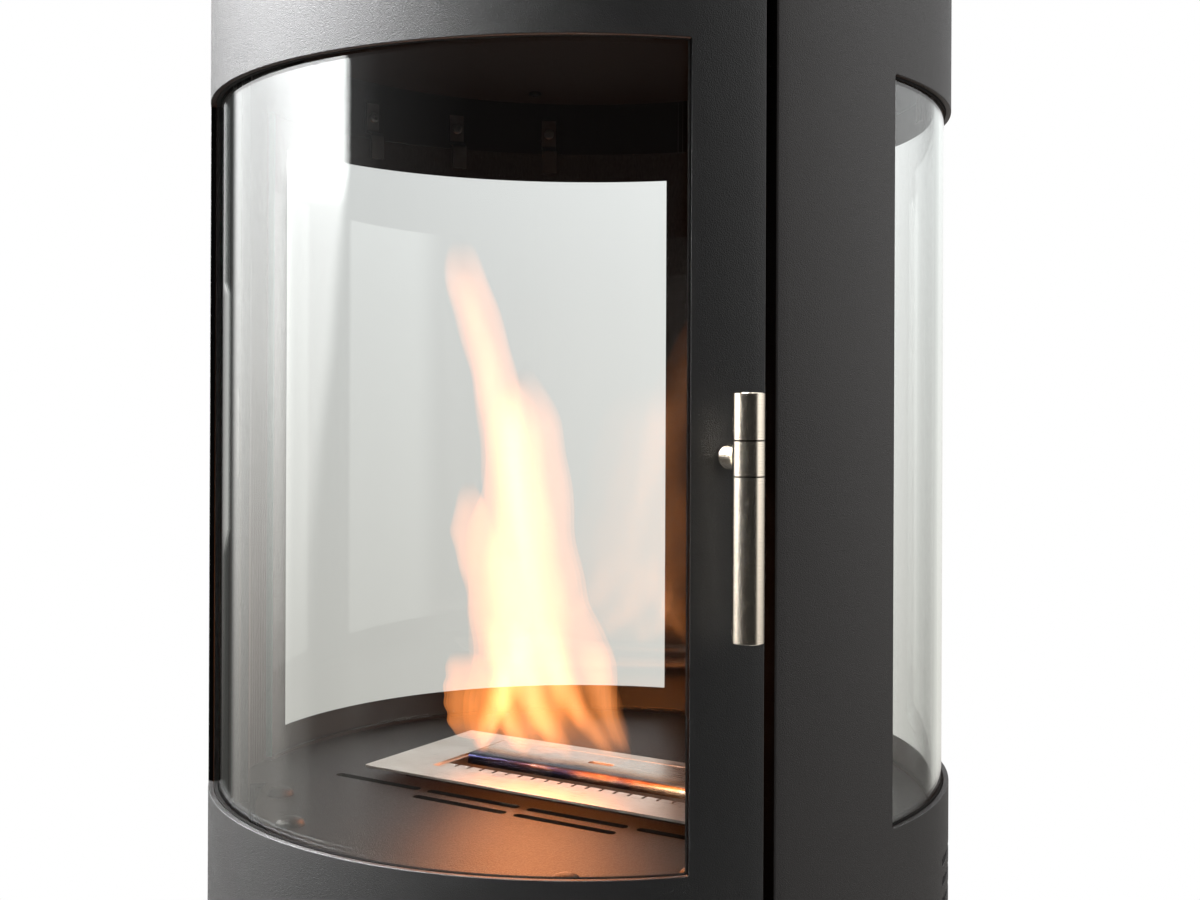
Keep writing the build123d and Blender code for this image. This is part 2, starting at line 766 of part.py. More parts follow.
with BuildPart() as latch_cam:
    with BuildSketch(facing(handle_angle, cam_back, handle_height)):
        Circle(cam_hub_radius)
        with Locations((cam_nose_reach - cam_nose_radius, 0)):
            Circle(cam_nose_radius)
        make_hull()
        Circle(spindle_radius + spigot_clearance, mode=Mode.SUBTRACT)
    extrude(amount=cam_sheet)
latch_cam.part.label = "latch_cam"

with BuildPart() as cam_nut:
    with BuildSketch(facing(handle_angle, nut_back, handle_height)):
        RegularPolygon(nut_radius, 6)
        Circle(spindle_radius + spigot_clearance, mode=Mode.SUBTRACT)
    extrude(amount=nut_height)
cam_nut.part.label = "cam_nut"

# ------------------------------------------------------------------ burner
opening_middle = (opening_front + opening_back) / 2
flame_middle = (flame_front + flame_back) / 2
comb_middle = flame_front - comb_depth / 2

with BuildPart() as burner_tray:
    with BuildSketch(Plane.XY.offset(floor_top)):
        Rectangle(tray_length, tray_depth)
    extrude(amount=tray_height)
    underside = burner_tray.faces().sort_by(Axis.Z)[0]
    offset(amount=-tray_sheet, openings=underside)
    fillet(burner_tray.edges().group_by(Axis.Z)[-1], tray_bend)
    with BuildSketch(Plane.XY.offset(deck_top)):
        with Locations((0, opening_middle)):
            Rectangle(opening_length, opening_back - opening_front)
    extrude(amount=2 * tray_sheet, mode=Mode.SUBTRACT)
burner_tray.part.label = "burner_tray"

with BuildPart() as burner_deck:
    with BuildSketch(Plane.XY.offset(tank_top)):
        with Locations((0, tank_middle)):
            Rectangle(tank_length + 2 * deck_rim, tank_back - tank_front + 2 * deck_rim)
        with Locations((0, flame_middle)):
            Rectangle(flame_length, flame_back - flame_front, mode=Mode.SUBTRACT)
        with Locations((0, comb_middle)):
            with GridLocations(comb_pitch, 0, comb_count, 1):
                Rectangle(comb_width, comb_depth, mode=Mode.SUBTRACT)
    extrude(amount=deck_sheet)
    with BuildSketch(Plane.XY.offset(wool_top + wool_clearance)):
        with Locations((0, flame_middle - comb_depth / 2)):
            walls = Rectangle(
                flame_length + 2 * flame_wall,
                flame_back - flame_front + comb_depth + 2 * flame_wall,
            )
            offset(walls, amount=-flame_wall, kind=Kind.INTERSECTION, mode=Mode.SUBTRACT)
    extrude(amount=tank_top - wool_top - wool_clearance)
burner_deck.part.label = "burner_deck"

with BuildPart() as burner_tank:
    with BuildSketch(Plane.XY.offset(tank_bottom)):
        with Locations((0, tank_middle)):
            Rectangle(tank_length, tank_back - tank_front)
    extrude(amount=tank_depth)
    fillet(burner_tank.edges().filter_by(Axis.Z), tank_bend)
    mouth = burner_tank.faces().sort_by(Axis.Z)[-1]
    offset(amount=-tank_wall, openings=mouth)
burner_tank.part.label = "burner_tank"

wool_bottom = tank_bottom + tank_wall + wool_clearance
wool_gap = 2 * (tank_wall + wool_clearance)
with BuildPart() as burner_wool:
    with BuildSketch(Plane.XY.offset(wool_bottom)):
        with Locations((0, tank_middle)):
            RectangleRounded(
                tank_length - wool_gap, tank_back - tank_front - wool_gap, tank_bend - tank_wall
            )
    extrude(amount=wool_top - wool_bottom)
burner_wool.part.label = "burner_wool"

lid_middle_height = tray_top - lid_sheet / 2
lid_lip_middle = lid_front + lid_sheet / 2
lid_width = opening_length - 2 * lid_side_gap

with BuildPart() as burner_lid:
    with BuildSketch(Plane.YZ):
        with BuildLine():
            FilletPolyline(
                (lid_back, lid_middle_height),
                (lid_lip_middle, lid_middle_height),
                (lid_lip_middle, tray_top - lid_lip_drop),
                radius=lid_lip_radius - lid_sheet / 2,
            )
        trace(line_width=lid_sheet)
    extrude(amount=lid_width / 2, both=True)
    with BuildSketch(Plane.XY.offset(tray_top - lid_lip_drop)):
        lip_depth = lid_lip_radius + lid_lip_inset
        for hand in (-1, 1):
            with Locations((hand * (lid_width - lid_lip_inset) / 2, lid_front + lip_depth / 2)):
                Rectangle(lid_lip_inset, lip_depth)
    extrude(amount=lid_lip_drop, mode=Mode.SUBTRACT)
    with BuildSketch(Plane.XY.offset(deck_top)):
        with Locations((0, (lid_front + lid_lip_radius + lid_back) / 2)):
            SlotOverall(lid_slot_length, lid_slot_width)
    extrude(amount=2 * lid_sheet, mode=Mode.SUBTRACT)
burner_lid.part.label = "burner_lid"

# ------------------------------------------------------------------ files
pieces = [
    plinth, base_plate, body_shell, top_plate, top_tabs, heat_baffle, baffle_posts,
    chamber_floor, floor_caps, floor_tabs, heat_shield, shield_tabs,
    side_glass_left, side_glass_right, side_seal_left, side_seal_right, side_clips,
    hinge_pin_lower, hinge_pin_upper, latch_keeper,
    door_leaf, door_rail_bottom, door_rail_top, door_sill, door_glass, door_seal,
    door_clips, glass_clamps, handle_bush,
    handle_post, handle_collar, handle_cap, handle_grip, latch_cam, cam_nut,
    burner_tray, burner_deck, burner_tank, burner_wool, burner_lid,
]

os.makedirs("parts", exist_ok=True)
for piece in pieces:
    export_step(piece.part, f"parts/{piece.part.label}.step")
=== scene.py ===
# %% [markdown]
# # A bioethanol fireplace, dressed in Blender
# The imported CAD model is the fixed frame of this scene: every solid is where the real part is, in metres, with
# the stove's axis at the origin and its front towards -Y. It is loaded first, because all else is placed from
# it.

# %% Load the frame
import json
import math

import bpy
import numpy as np
from mathutils import Matrix, Vector
from mathutils.geometry import delaunay_2d_cdt


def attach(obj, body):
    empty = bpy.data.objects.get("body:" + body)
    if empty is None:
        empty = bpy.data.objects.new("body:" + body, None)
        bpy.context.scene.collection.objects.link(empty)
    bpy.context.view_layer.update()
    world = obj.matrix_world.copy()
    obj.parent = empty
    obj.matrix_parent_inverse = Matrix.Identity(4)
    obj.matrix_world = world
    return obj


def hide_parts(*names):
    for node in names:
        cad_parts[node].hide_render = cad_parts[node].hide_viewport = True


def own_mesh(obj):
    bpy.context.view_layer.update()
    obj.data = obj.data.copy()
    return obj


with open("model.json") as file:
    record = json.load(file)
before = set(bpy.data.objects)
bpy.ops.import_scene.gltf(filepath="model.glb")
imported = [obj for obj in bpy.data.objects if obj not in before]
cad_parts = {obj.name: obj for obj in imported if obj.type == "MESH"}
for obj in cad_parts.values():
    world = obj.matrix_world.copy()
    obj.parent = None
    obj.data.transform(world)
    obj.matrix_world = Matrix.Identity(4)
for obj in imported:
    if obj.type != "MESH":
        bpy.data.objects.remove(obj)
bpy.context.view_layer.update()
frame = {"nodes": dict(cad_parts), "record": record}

nodes = frame["nodes"]
scene = bpy.context.scene

# %% [markdown]
# The photograph is a close perspective view from the front right, at the height of the handle. Its verticals
# stay parallel, so the camera looks level and the frame is shifted instead of tilting the camera. The place,
# lens and the small turn and roll come from solving the window's edges, the floor slots and the burner against
# the cylinder.

# %% Camera at the photograph's view
MM = 0.001
VIEW_AZIMUTH = math.radians(32.2)
EYE_DISTANCE, EYE_HEIGHT = 863.4 * MM, 761.7 * MM
YAW, ROLL = math.radians(0.753), math.radians(0.232)
SENSOR_WIDTH, LENS, SHIFT, CLIP_START = 36, 43.19, -0.0416, 0.02

eye = Vector((EYE_DISTANCE * math.sin(VIEW_AZIMUTH), -EYE_DISTANCE * math.cos(VIEW_AZIMUTH), EYE_HEIGHT))
up = Vector((0, 0, 1))
towards_axis = Vector((-math.sin(VIEW_AZIMUTH), math.cos(VIEW_AZIMUTH), 0))
picture_right = towards_axis.cross(up)
forward = towards_axis * math.cos(YAW) + picture_right * math.sin(YAW)
level_right = forward.cross(up)
right = level_right * math.cos(ROLL) + up * math.sin(ROLL)
above = up * math.cos(ROLL) - level_right * math.sin(ROLL)

camera_data = bpy.data.cameras.new("camera")
camera_data.sensor_width = SENSOR_WIDTH
camera_data.lens = LENS
camera_data.shift_y = SHIFT
camera_data.clip_start = CLIP_START
camera = bpy.data.objects.new("camera", camera_data)
scene.collection.objects.link(camera)
facing = Matrix((right, above, -forward)).transposed()
camera.matrix_world = Matrix.Translation(eye) @ facing.to_4x4()
scene.camera = camera
scene.view_settings.view_transform = "Standard"
print("camera at", [round(n, 3) for n in eye])

# %% [markdown]
# A material in Blender is a tree of shader nodes. Written out one by one they hide what matters, so a few
# helpers add them: a node whose inputs are plain numbers, colours or another node's output, noise on the Object
# coordinates, which are metres on every piece here, so a scale reads as spots per metre, and curves drawn
# through a few stops.

# %% Helpers for shader nodes
def put(tree, socket, value):
    """A number, a colour or another node's output goes into a socket."""
    if isinstance(value, bpy.types.NodeSocket):
        tree.links.new(value, socket)
    else:
        socket.default_value = value


def add(tree, kind, inputs=None, **settings):
    """A shader node of that kind, with its settings and inputs."""
    made = tree.nodes.new("ShaderNode" + kind)
    for name, value in settings.items():
        setattr(made, name, value)
    for name, value in (inputs or {}).items():
        put(tree, made.inputs[name], value)
    return made


def emptied(owner):
    """The node tree of a material or the world, with nothing in it yet."""
    owner.use_nodes = True
    owner.node_tree.nodes.clear()
    return owner.node_tree


def noise(tree, scale, detail=2.0, roughness=0.5, stretch=(1, 1, 1)):
    """Noise between 0 and 1, about scale spots per metre, drawn out along an axis whose stretch is small."""
    place = add(tree, "TexCoord").outputs["Object"]
    if stretch != (1, 1, 1):
        place = add(tree, "Mapping", {"Vector": place, "Scale": stretch}).outputs["Vector"]
    spots = {"Vector": place, "Scale": scale, "Detail": detail, "Roughness": roughness}
    return add(tree, "TexNoise", spots).outputs["Fac"]


def spread(tree, value, low, high, from_low=0.0, from_high=1.0, smooth=False):
    """The value's range from_low to from_high carried to low to high, and held there outside it."""
    ranges = {"Value": value, "From Min": from_low, "From Max": from_high, "To Min": low, "To Max": high}
    kind = "SMOOTHSTEP" if smooth else "LINEAR"
    return add(tree, "MapRange", ranges, interpolation_type=kind).outputs["Result"]


def maths(tree, operation, first, second=0.0):
    """One sum on two numbers or outputs."""
    return add(tree, "Math", {0: first, 1: second}, operation=operation).outputs["Value"]


def product(tree, first, *others):
    """Several numbers or outputs multiplied."""
    for other in others:
        first = maths(tree, "MULTIPLY", first, other)
    return first


def blend(tree, share, first, second):
    """The first number where share is 0, the second where it is 1."""
    return add(tree, "Mix", {0: share, 2: first, 3: second}, data_type="FLOAT").outputs[0]


def blend_colours(tree, share, first, second):
    """The first colour where share is 0, the second where it is 1."""
    first, second = ((*colour, 1.0) if isinstance(colour, tuple) else colour for colour in (first, second))
    return add(tree, "Mix", {0: share, 6: first, 7: second}, data_type="RGBA").outputs[2]


def colour_ramp(tree, value, stops):
    """Straight lines between stops of (value, colour), held beyond the first and last."""
    first, last = stops[0][0], stops[-1][0]
    made = add(tree, "ValToRGB", {"Fac": spread(tree, value, 0, 1, first, last)})
    elements = made.color_ramp.elements
    while len(elements) < len(stops):
        elements.new(0.5)
    for element, (at, _) in zip(elements, stops):
        element.position = (at - first) / (last - first)
    for element, (_, colour) in zip(elements, stops):
        element.color = (*colour, 1)
    return made.outputs["Color"]


def ramp(tree, value, stops):
    """The same for stops of (value, number)."""
    peak = max(number for _, number in stops)
    return product(tree, colour_ramp(tree, value, [(at, [number / peak] * 3) for at, number in stops]), peak)


# %% [markdown]
# The studio: a white room with one large soft box on the left, and black card in front, which keeps the
# charcoal coat dark. Lamps could build it, but the glass and the coat mirror every edge of the room, and there
# a drawing of the room over all directions is easier to steer. Camera rays see plain white. Light that a
# surface scatters comes from all sides at a level of 1, so a colour renders as it is written, and only mirrored
# or passed light sees the room.
#
# Azimuth runs from 0 in front of the stove to -90 on its left. The box shines from -105 to -41 degrees and
# grows brighter upwards. Its light falls off differently at its near and far end, and its near side slants and
# blurs towards the floor. A narrow slit between the cards at -119 degrees draws the thin line of light on the
# left limb of the glass. On the right stands a white wall, and behind the stove hangs pale paper.

# %% The studio as a world
IN_DEGREES = 180 / math.pi
BOX_SIDE, SLIT = -41.0, -118.6

world = bpy.data.worlds.new("studio")
scene.world = world
tree = emptied(world)
way = add(tree, "SeparateXYZ", {"Vector": add(tree, "TexCoord").outputs["Generated"]}).outputs
azimuth = product(tree, maths(tree, "ARCTAN2", way["X"], product(tree, way["Y"], -1.0)), IN_DEGREES)
elevation = product(tree, maths(tree, "ARCSINE", way["Z"]), IN_DEGREES)

box_light = ramp(tree, azimuth, [
    (-125, 1.0), (-108, 1.8), (-100, 2.1), (-92, 2.4), (-83, 3.2), (-76, 4.5), (-69, 6.4), (-60, 9), (-45, 12),
    (-30, 12)])
far_fall = ramp(tree, elevation, [
    (-60, 0.01), (-22, 0.03), (-17, 0.07), (-14, 0.13), (-10, 0.25), (-6, 0.41), (-2, 0.57), (2, 0.74),
    (6, 0.84), (12, 1.0), (22, 4.0), (32, 6.5), (60, 6.5)])
near_fall = ramp(tree, elevation, [
    (-60, 0.01), (-15, 0.03), (-10, 0.06), (-6, 0.11), (-2, 0.16), (2, 0.22), (6, 0.28), (7.5, 0.34), (9, 1.0),
    (14, 1.0), (22, 3.4), (32, 5.0), (60, 5.0)])
fall = blend(tree, spread(tree, azimuth, 0, 1, -74, -63, smooth=True), far_fall, near_fall)
slant = ramp(tree, elevation, [(-10, 17), (-6, 16), (-2, 12), (2, 7), (6, 4), (9, 1), (16, 1), (26, 0)])
blur = ramp(tree, elevation, [(-10, 5), (6, 3), (9, 1.0)])
past_side = maths(tree, "DIVIDE", maths(tree, "SUBTRACT", maths(tree, "ADD", azimuth, slant), BOX_SIDE), blur)
box_side = spread(tree, past_side, 1, 0, -1, 1, smooth=True)
box_back = spread(tree, azimuth, 0, 1, -105.5, -101, smooth=True)
box = product(tree, box_light, fall, box_side, box_back)

cards = ramp(tree, azimuth, [
    (-122, 0.03), (-107, 0.06), (-102, 0.3), (-60, 0.4), (-38, 0.4), (-30, 0.18), (-22, 0.13), (-12, 0.08),
    (0, 0.04), (80, 0.02)])
slit_light = ramp(tree, elevation, [(-14, 0.06), (-6, 0.2), (-5, 0.4), (4, 0.45), (4.3, 0.9), (14, 0.9)])
slit_width = ramp(tree, elevation, [(-6, 1.4), (-5, 5.0), (4, 5.0), (4.5, 1.4)])
past_slit = maths(tree, "DIVIDE", maths(tree, "SUBTRACT", azimuth, SLIT), slit_width)
slit = product(tree, spread(tree, past_slit, 0, 1, -0.2, 0.1), spread(tree, past_slit, 1, 0, 1.6, 2.0),
               slit_light)
wall_light = product(
    tree, ramp(tree, elevation, [(-40, 0.1), (-18, 0.3), (-4, 1.1), (2, 1.45), (12, 2.0), (40, 2.3)]),
    ramp(tree, azimuth, [(110, 1.05), (140, 0.75), (165, 0.35)]))
paper_light = product(
    tree, ramp(tree, azimuth, [(-180, 1.1), (-160, 1.12), (-151, 1.1), (-137, 0.84), (-118, 0.84)]),
    ramp(tree, elevation, [(-30, 0.2), (-18, 0.4), (-13, 0.7), (-8, 0.75), (-4, 0.79), (4, 0.86), (10, 0.95)]))
paper_share = maths(tree, "MAXIMUM", spread(tree, azimuth, 0, 1, 166, 178, smooth=True),
                    spread(tree, azimuth, 1, 0, -126, -122.5, smooth=True))
beside = blend(tree, spread(tree, azimuth, 0, 1, 84, 97, smooth=True), maths(tree, "ADD", cards, slit),
               wall_light)
room = maths(tree, "ADD", blend(tree, paper_share, beside, paper_light), box)

path = add(tree, "LightPath")
scattered = maths(tree, "GREATER_THAN", path.outputs["Diffuse Depth"], 0.5)
plain = maths(tree, "MAXIMUM", scattered, path.outputs["Is Camera Ray"])
warmth = blend_colours(tree, spread(tree, elevation, 0, 1, -12, 14), (1.0, 0.965, 0.91), (0.985, 0.99, 1.0))
background = add(tree, "Background", {"Color": blend_colours(tree, plain, warmth, (1.0, 1.0, 1.0)),
                                      "Strength": blend(tree, plain, room, 1.0)})
add(tree, "OutputWorld", {"Surface": background.outputs[0]})
world.cycles.sampling_method = "NONE"
scene.cycles.transparent_max_bounces = 128
scene.cycles.max_bounces = 24
scene.cycles.transmission_bounces = 24
scene.cycles.glossy_bounces = 12
print("studio drawn")

# %% [markdown]
# The floor is a plain pale disc. Close to the stove it is a matt white that takes the stove's soft shadow.
# Farther out it turns into the same white as the room, so no edge or horizon shows.

# %% Floor
SAME_PLACE = 1e-7


def distinct(points):
    """Which points are the first at their place, and which of these stands for each point."""
    keys = np.round(points / SAME_PLACE).astype(np.int64)
    _, first, place = np.unique(keys, axis=0, return_index=True, return_inverse=True)
    return first, place.reshape(-1)


def new_mesh(name, points, faces, smooth=30.0):
    """A mesh object from an array of points in metres and a list of face arrays. Equal points are merged, and
    edges sharper than the smooth angle stay crisp."""
    first, place = distinct(points)
    corners, sizes = [], []
    for group in faces:
        group = place[np.asarray(group)]
        doubled = group == np.roll(group, 1, axis=1)
        for gone in np.unique(doubled.sum(axis=1)):
            rows = doubled.sum(axis=1) == gone
            size = group.shape[1] - gone
            if size > 2:
                corners.append(group[rows][~doubled[rows]])
                sizes.append(np.full(rows.sum(), size))
    corners, sizes = np.concatenate(corners), np.concatenate(sizes)
    mesh = bpy.data.meshes.new(name)
    mesh.vertices.add(len(first))
    mesh.vertices.foreach_set("co", points[first].astype(np.float32).ravel())
    mesh.loops.add(len(corners))
    mesh.loops.foreach_set("vertex_index", corners.astype(np.int32))
    mesh.polygons.add(len(sizes))
    mesh.polygons.foreach_set("loop_start", (np.cumsum(sizes) - sizes).astype(np.int32))
    mesh.polygons.foreach_set("use_smooth", np.ones(len(sizes), bool))
    mesh.update(calc_edges=True)
    mesh.set_sharp_from_angle(angle=math.radians(smooth))
    made = bpy.data.objects.new(name, mesh)
    scene.collection.objects.link(made)
    return made


def grid_faces(rows, columns, around=False):
    """Four-cornered faces between neighbouring rows and columns of a grid, closed around if asked."""
    across = np.arange(columns if around else columns - 1)
    row, column = np.meshgrid(np.arange(rows - 1), across, indexing="ij")
    after = (column + 1) % columns
    low, high = row * columns, (row + 1) * columns
    return np.stack([low + column, low + after, high + after, high + column], axis=-1).reshape(-1, 4)


FLOOR_RINGS, FLOOR_STEPS = [0, 0.1, 0.25, 0.5, 0.8, 1.2], 96
reach, spin = np.meshgrid(FLOOR_RINGS, np.linspace(0, 2 * np.pi, FLOOR_STEPS, endpoint=False), indexing="ij")
floor_points = np.stack([reach * np.cos(spin), reach * np.sin(spin), 0 * reach], axis=-1).reshape(-1, 3)
floor = new_mesh("floor", floor_points, [grid_faces(len(FLOOR_RINGS), FLOOR_STEPS, around=True)])
paper = bpy.data.materials.new("pale_floor")
tree = emptied(paper)
place = add(tree, "TexCoord").outputs["Object"]
away = add(tree, "VectorMath", {0: place}, operation="LENGTH").outputs["Value"]
matt = add(tree, "BsdfDiffuse", {"Color": spread(tree, noise(tree, 60, 3), 0.86, 0.9)})
share = spread(tree, away, 0, 1, 0.45, 1.15, smooth=True)
mix = add(tree, "MixShader", {0: share, 1: matt.outputs[0], 2: add(tree, "BsdfTransparent").outputs[0]})
add(tree, "OutputMaterial", {"Surface": mix.outputs[0]})
floor.data.materials.append(paper)
print("floor", len(floor.data.polygons), "faces")

# %% [markdown]
# Powder coat is a baked paint with a fine, slightly pebbled skin that glitters where a lamp grazes it. A flat
# dark grey looks like plastic, so the coat gets grain of about half a millimetre in its bump, a slight mottle
# in its colour, and a roughness that varies with the grain. The same recipe in warmer or darker tones serves
# the inside of the chamber. Two near-black copies of it are painted shade: one on the casing's inside faces
# over the chamber, one on the cut sides of the sheets and in the handle's grooves.

# %% Coated steel
def new_finish(name, inputs=None):
    """A material that is one Principled shader with those inputs: the material, its tree and the shader."""
    made = bpy.data.materials.new(name)
    tree = emptied(made)
    shader = add(tree, "BsdfPrincipled", inputs)
    add(tree, "OutputMaterial", {"Surface": shader.outputs[0]})
    return made, tree, shader


def skin(tree, shader, grain, rough, bump, depth, held=(0.0, 1.0)):
    """Roughness between two numbers where the grain lies between the two of held, and relief of that grain."""
    put(tree, shader.inputs["Roughness"], spread(tree, grain, *rough, *held))
    relief = add(tree, "Bump", {"Height": grain, "Strength": bump, "Distance": depth})
    put(tree, shader.inputs["Normal"], relief.outputs[0])


def coated(name, dark, light, rough, bump=0.6, grain_scale=2000, specular=0.5, gloss_tone=(1, 1, 1)):
    """Powder coat between two tones, with pebbled grain."""
    made, tree, shader = new_finish(name, {"Specular IOR Level": specular, "Specular Tint": (*gloss_tone, 1)})
    fine = noise(tree, grain_scale, 1.5, 0.6)
    speckle = product(tree, spread(tree, fine, 0, 1, 0.3, 0.7), 0.7)
    share = maths(tree, "ADD", speckle, product(tree, noise(tree, 14, 3), 0.3))
    put(tree, shader.inputs["Base Color"], blend_colours(tree, share, dark, light))
    skin(tree, shader, fine, (rough - 0.1, rough + 0.1), bump, 0.0004, (0.3, 0.7))
    return made


charcoal_coat = coated("powder_coat_charcoal", (0.0045, 0.0043, 0.0042), (0.0085, 0.0082, 0.008), 0.5,
                       specular=0.55)
casing_coat = coated("powder_coat_casing", (0.0115, 0.0097, 0.009), (0.020, 0.0172, 0.016), 0.5, specular=0.48)
chamber_coat = coated("powder_coat_chamber", (0.006, 0.004, 0.0026), (0.012, 0.008, 0.0052), 0.4, bump=0.8,
                      grain_scale=1300, specular=0.28, gloss_tone=(1, 0.92, 0.82))
soot_coat = coated("sooty_ceiling", (0.006, 0.0045, 0.0035), (0.012, 0.009, 0.007), 0.7, specular=0.08)
# painted shade: the casing's coat made nearly black for its inside faces over the chamber, where the chamber's
# shade falls
inner_painted_shade_coat = coated("powder_coat_inner_painted_shade", (0.002, 0.0015, 0.001), (0.004, 0.003, 0.002), 0.6, specular=0.1)
# painted shade: a near-black copy of the coat on the sheets' cut sides and in the handle's grooves, which
# darkens the door gap, the window edges and the joints as shade would
painted_shade_coat = coated("powder_coat_painted_shade", (0.001, 0.001, 0.001), (0.002, 0.002, 0.002), 0.8, specular=0.02)
plinth_coat = coated("powder_coat_plinth", (0.012, 0.012, 0.012), (0.022, 0.022, 0.022), 0.55)
cap_coat = coated("floor_cap_coat", (0.006, 0.0055, 0.005), (0.014, 0.013, 0.012), 0.6, bump=0.25, specular=0.3)
print("eight coats")

# %% [markdown]
# Bare metals differ in how they were worked: the handle is drawn through abrasive and has fine lines around it,
# the burner is rolled stainless sheet with straight faint lines and stains, screws and clips are zinc plated.

# %% Bare metals
LINES_PER_METRE = 2200
ALONG_X = (0.03, 1, 1)


def tool_lines(tree, way):
    """Noise that only changes along one direction, as the lines that a lathe tool or a belt leaves."""
    place = add(tree, "TexCoord").outputs["Object"]
    along = add(tree, "VectorMath", {0: place, 1: way}, operation="DOT_PRODUCT").outputs["Value"]
    return add(tree, "TexNoise", {"W": along, "Scale": LINES_PER_METRE, "Detail": 3.0, "Roughness": 0.65},
               noise_dimensions="1D").outputs["Fac"]


def bare_metal(name, tone, worn, rough, lines=(1, 1, 1), scale=2500, bump=0.15, uneven=0.08, depth=0.00005,
               turned=None):
    """Metal between two tones, brushed along axes whose share in lines is small, or turned about a direction."""
    made, tree, shader = new_finish(name, {"Metallic": 1.0})
    brushed = tool_lines(tree, turned) if turned else noise(tree, scale, 3, 0.65, lines)
    stains = spread(tree, noise(tree, 35, 4, 0.6), 0, 1, 0.35, 0.75)
    put(tree, shader.inputs["Base Color"], blend_colours(tree, stains, tone, worn))
    skin(tree, shader, brushed, (rough - uneven, rough + uneven), bump, depth, (0.25, 0.75))
    return made


NICKEL, WORN_NICKEL = (0.88, 0.79, 0.67), (0.82, 0.73, 0.61)
handle_metal = bare_metal("brushed_handle_nickel", NICKEL, WORN_NICKEL, 0.21, bump=1.0, uneven=0.03,
                          turned=(0, 0, 1))
post_metal = bare_metal("turned_post_nickel", NICKEL, WORN_NICKEL, 0.2, bump=1.0, uneven=0.03, depth=0.0004,
                        turned=(0.7733, -0.6340, 0))
# painted shade: a dark copy of the rolled stainless for the skirt, which stands in the shade under the tray's
# rim
painted_shade_metal = bare_metal("skirt_stainless_painted_shade", (0.16, 0.13, 0.11), (0.09, 0.075, 0.06), 0.5, ALONG_X,
                         LINES_PER_METRE)
burner_metal = bare_metal("rolled_stainless", (0.66, 0.61, 0.55), (0.56, 0.49, 0.42), 0.32, ALONG_X,
                          LINES_PER_METRE)
zinc_metal = bare_metal("zinc_plate", (0.34, 0.33, 0.31), (0.24, 0.23, 0.21), 0.4)
spring_metal = bare_metal("spring_sheet", (0.15, 0.145, 0.135), (0.10, 0.095, 0.09), 0.45)
brass_metal = bare_metal("bearing_brass", (0.70, 0.52, 0.24), (0.55, 0.38, 0.16), 0.3)
print("seven bare metals")

# %% [markdown]
# Steel beside a flame takes on temper colours: straw, then copper, violet and blue, each a step hotter. They
# follow the distance from the flame slot, so the tint is a colour ramp over that distance, shifted a little by
# noise and rising along the slot, whose left end burns hottest.

# %% Heat-tinted steel
SLOT_CENTRE, SLOT_HALF = (0.0, -0.0057), (0.084, 0.0133)
TEMPER = [(0.0, (0.012, 0.012, 0.034)), (2.4, (0.035, 0.022, 0.034)), (5.28, (0.13, 0.058, 0.028)),
          (10.08, (0.40, 0.24, 0.135)), (18.0, (0.64, 0.55, 0.46)), (24.0, (0.64, 0.60, 0.55))]


def slot_distance(tree):
    """How far a point lies outside the flame slot's rectangle, seen from above, in metres."""
    place = add(tree, "TexCoord").outputs["Object"]
    moved = add(tree, "VectorMath", {0: place, 1: (*SLOT_CENTRE, 0)}, operation="SUBTRACT").outputs[0]
    folded = add(tree, "VectorMath", {0: moved}, operation="ABSOLUTE").outputs[0]
    beyond = add(tree, "VectorMath", {0: folded, 1: (*SLOT_HALF, 0)}, operation="SUBTRACT").outputs[0]
    beyond = add(tree, "SeparateXYZ", {"Vector": beyond}).outputs
    squares = [product(tree, gap, gap) for gap in (maths(tree, "MAXIMUM", beyond[axis], 0.0) for axis in "XY")]
    return maths(tree, "SQRT", maths(tree, "ADD", *squares))


def tinted(name, rough):
    """Stainless sheet with temper colours near the flame slot."""
    made, tree, shader = new_finish(name, {"Metallic": 1.0})
    wander = product(tree, maths(tree, "SUBTRACT", noise(tree, 22, 3), 0.5), 0.02)
    place = add(tree, "SeparateXYZ", {"Vector": add(tree, "TexCoord").outputs["Object"]})
    cooler = spread(tree, place.outputs["X"], 0.0, 0.009, -0.06, 0.07)
    heat = maths(tree, "ADD", maths(tree, "ADD", slot_distance(tree), wander), cooler)
    temper = colour_ramp(tree, heat, [(distance * MM, colour) for distance, colour in TEMPER])
    stains = spread(tree, noise(tree, 45, 4, 0.6), 0, 0.5, 0.5, 0.8)
    put(tree, shader.inputs["Base Color"], blend_colours(tree, stains, temper, (0.42, 0.36, 0.30)))
    brushed = noise(tree, LINES_PER_METRE, 3, 0.65, ALONG_X)
    skin(tree, shader, brushed, (rough - 0.08, rough + 0.08), 0.15, 0.00005, (0.25, 0.75))
    return made


tinted_metal = tinted("heat_tinted_stainless", 0.28)
print("temper colours ramp over", TEMPER[-1][0], "mm")

# %% [markdown]
# The seals are black woven cord, matt and fuzzy, and the burner's wool is white mineral fibre.

# %% Seal and wool
def fibrous(name, dark, light, scale, stretch):
    """Matt fibre between two tones, with its strands drawn out along one axis."""
    made, tree, shader = new_finish(name, {"Specular IOR Level": 0.1})
    strands = noise(tree, scale, 4, 0.7, stretch)
    share = spread(tree, strands, 0, 1, 0.3, 0.7)
    put(tree, shader.inputs["Base Color"], blend_colours(tree, share, dark, light))
    skin(tree, shader, strands, (0.8, 0.95), 0.6, 0.0004)
    return made


seal_fibre = fibrous("black_seal_cord", (0.006, 0.006, 0.006), (0.022, 0.021, 0.020), 900, (1, 1, 0.3))
wool_fibre = fibrous("ceramic_wool", (0.30, 0.27, 0.23), (0.72, 0.69, 0.64), 500, (1, 0.2, 0.6))
print("two fibres")

# %% [markdown]
# The panes are real glass, 5 mm thick, whose faint green comes from iron in the melt: it shows as a tint
# through the pane and as a strong teal along its edges. A coloured surface would tint both the same, so the
# colour is an absorption inside the glass, and its faces are clear and smooth. The upright edges are ground, so
# they are a finish of their own: frosted teal that no light passes.

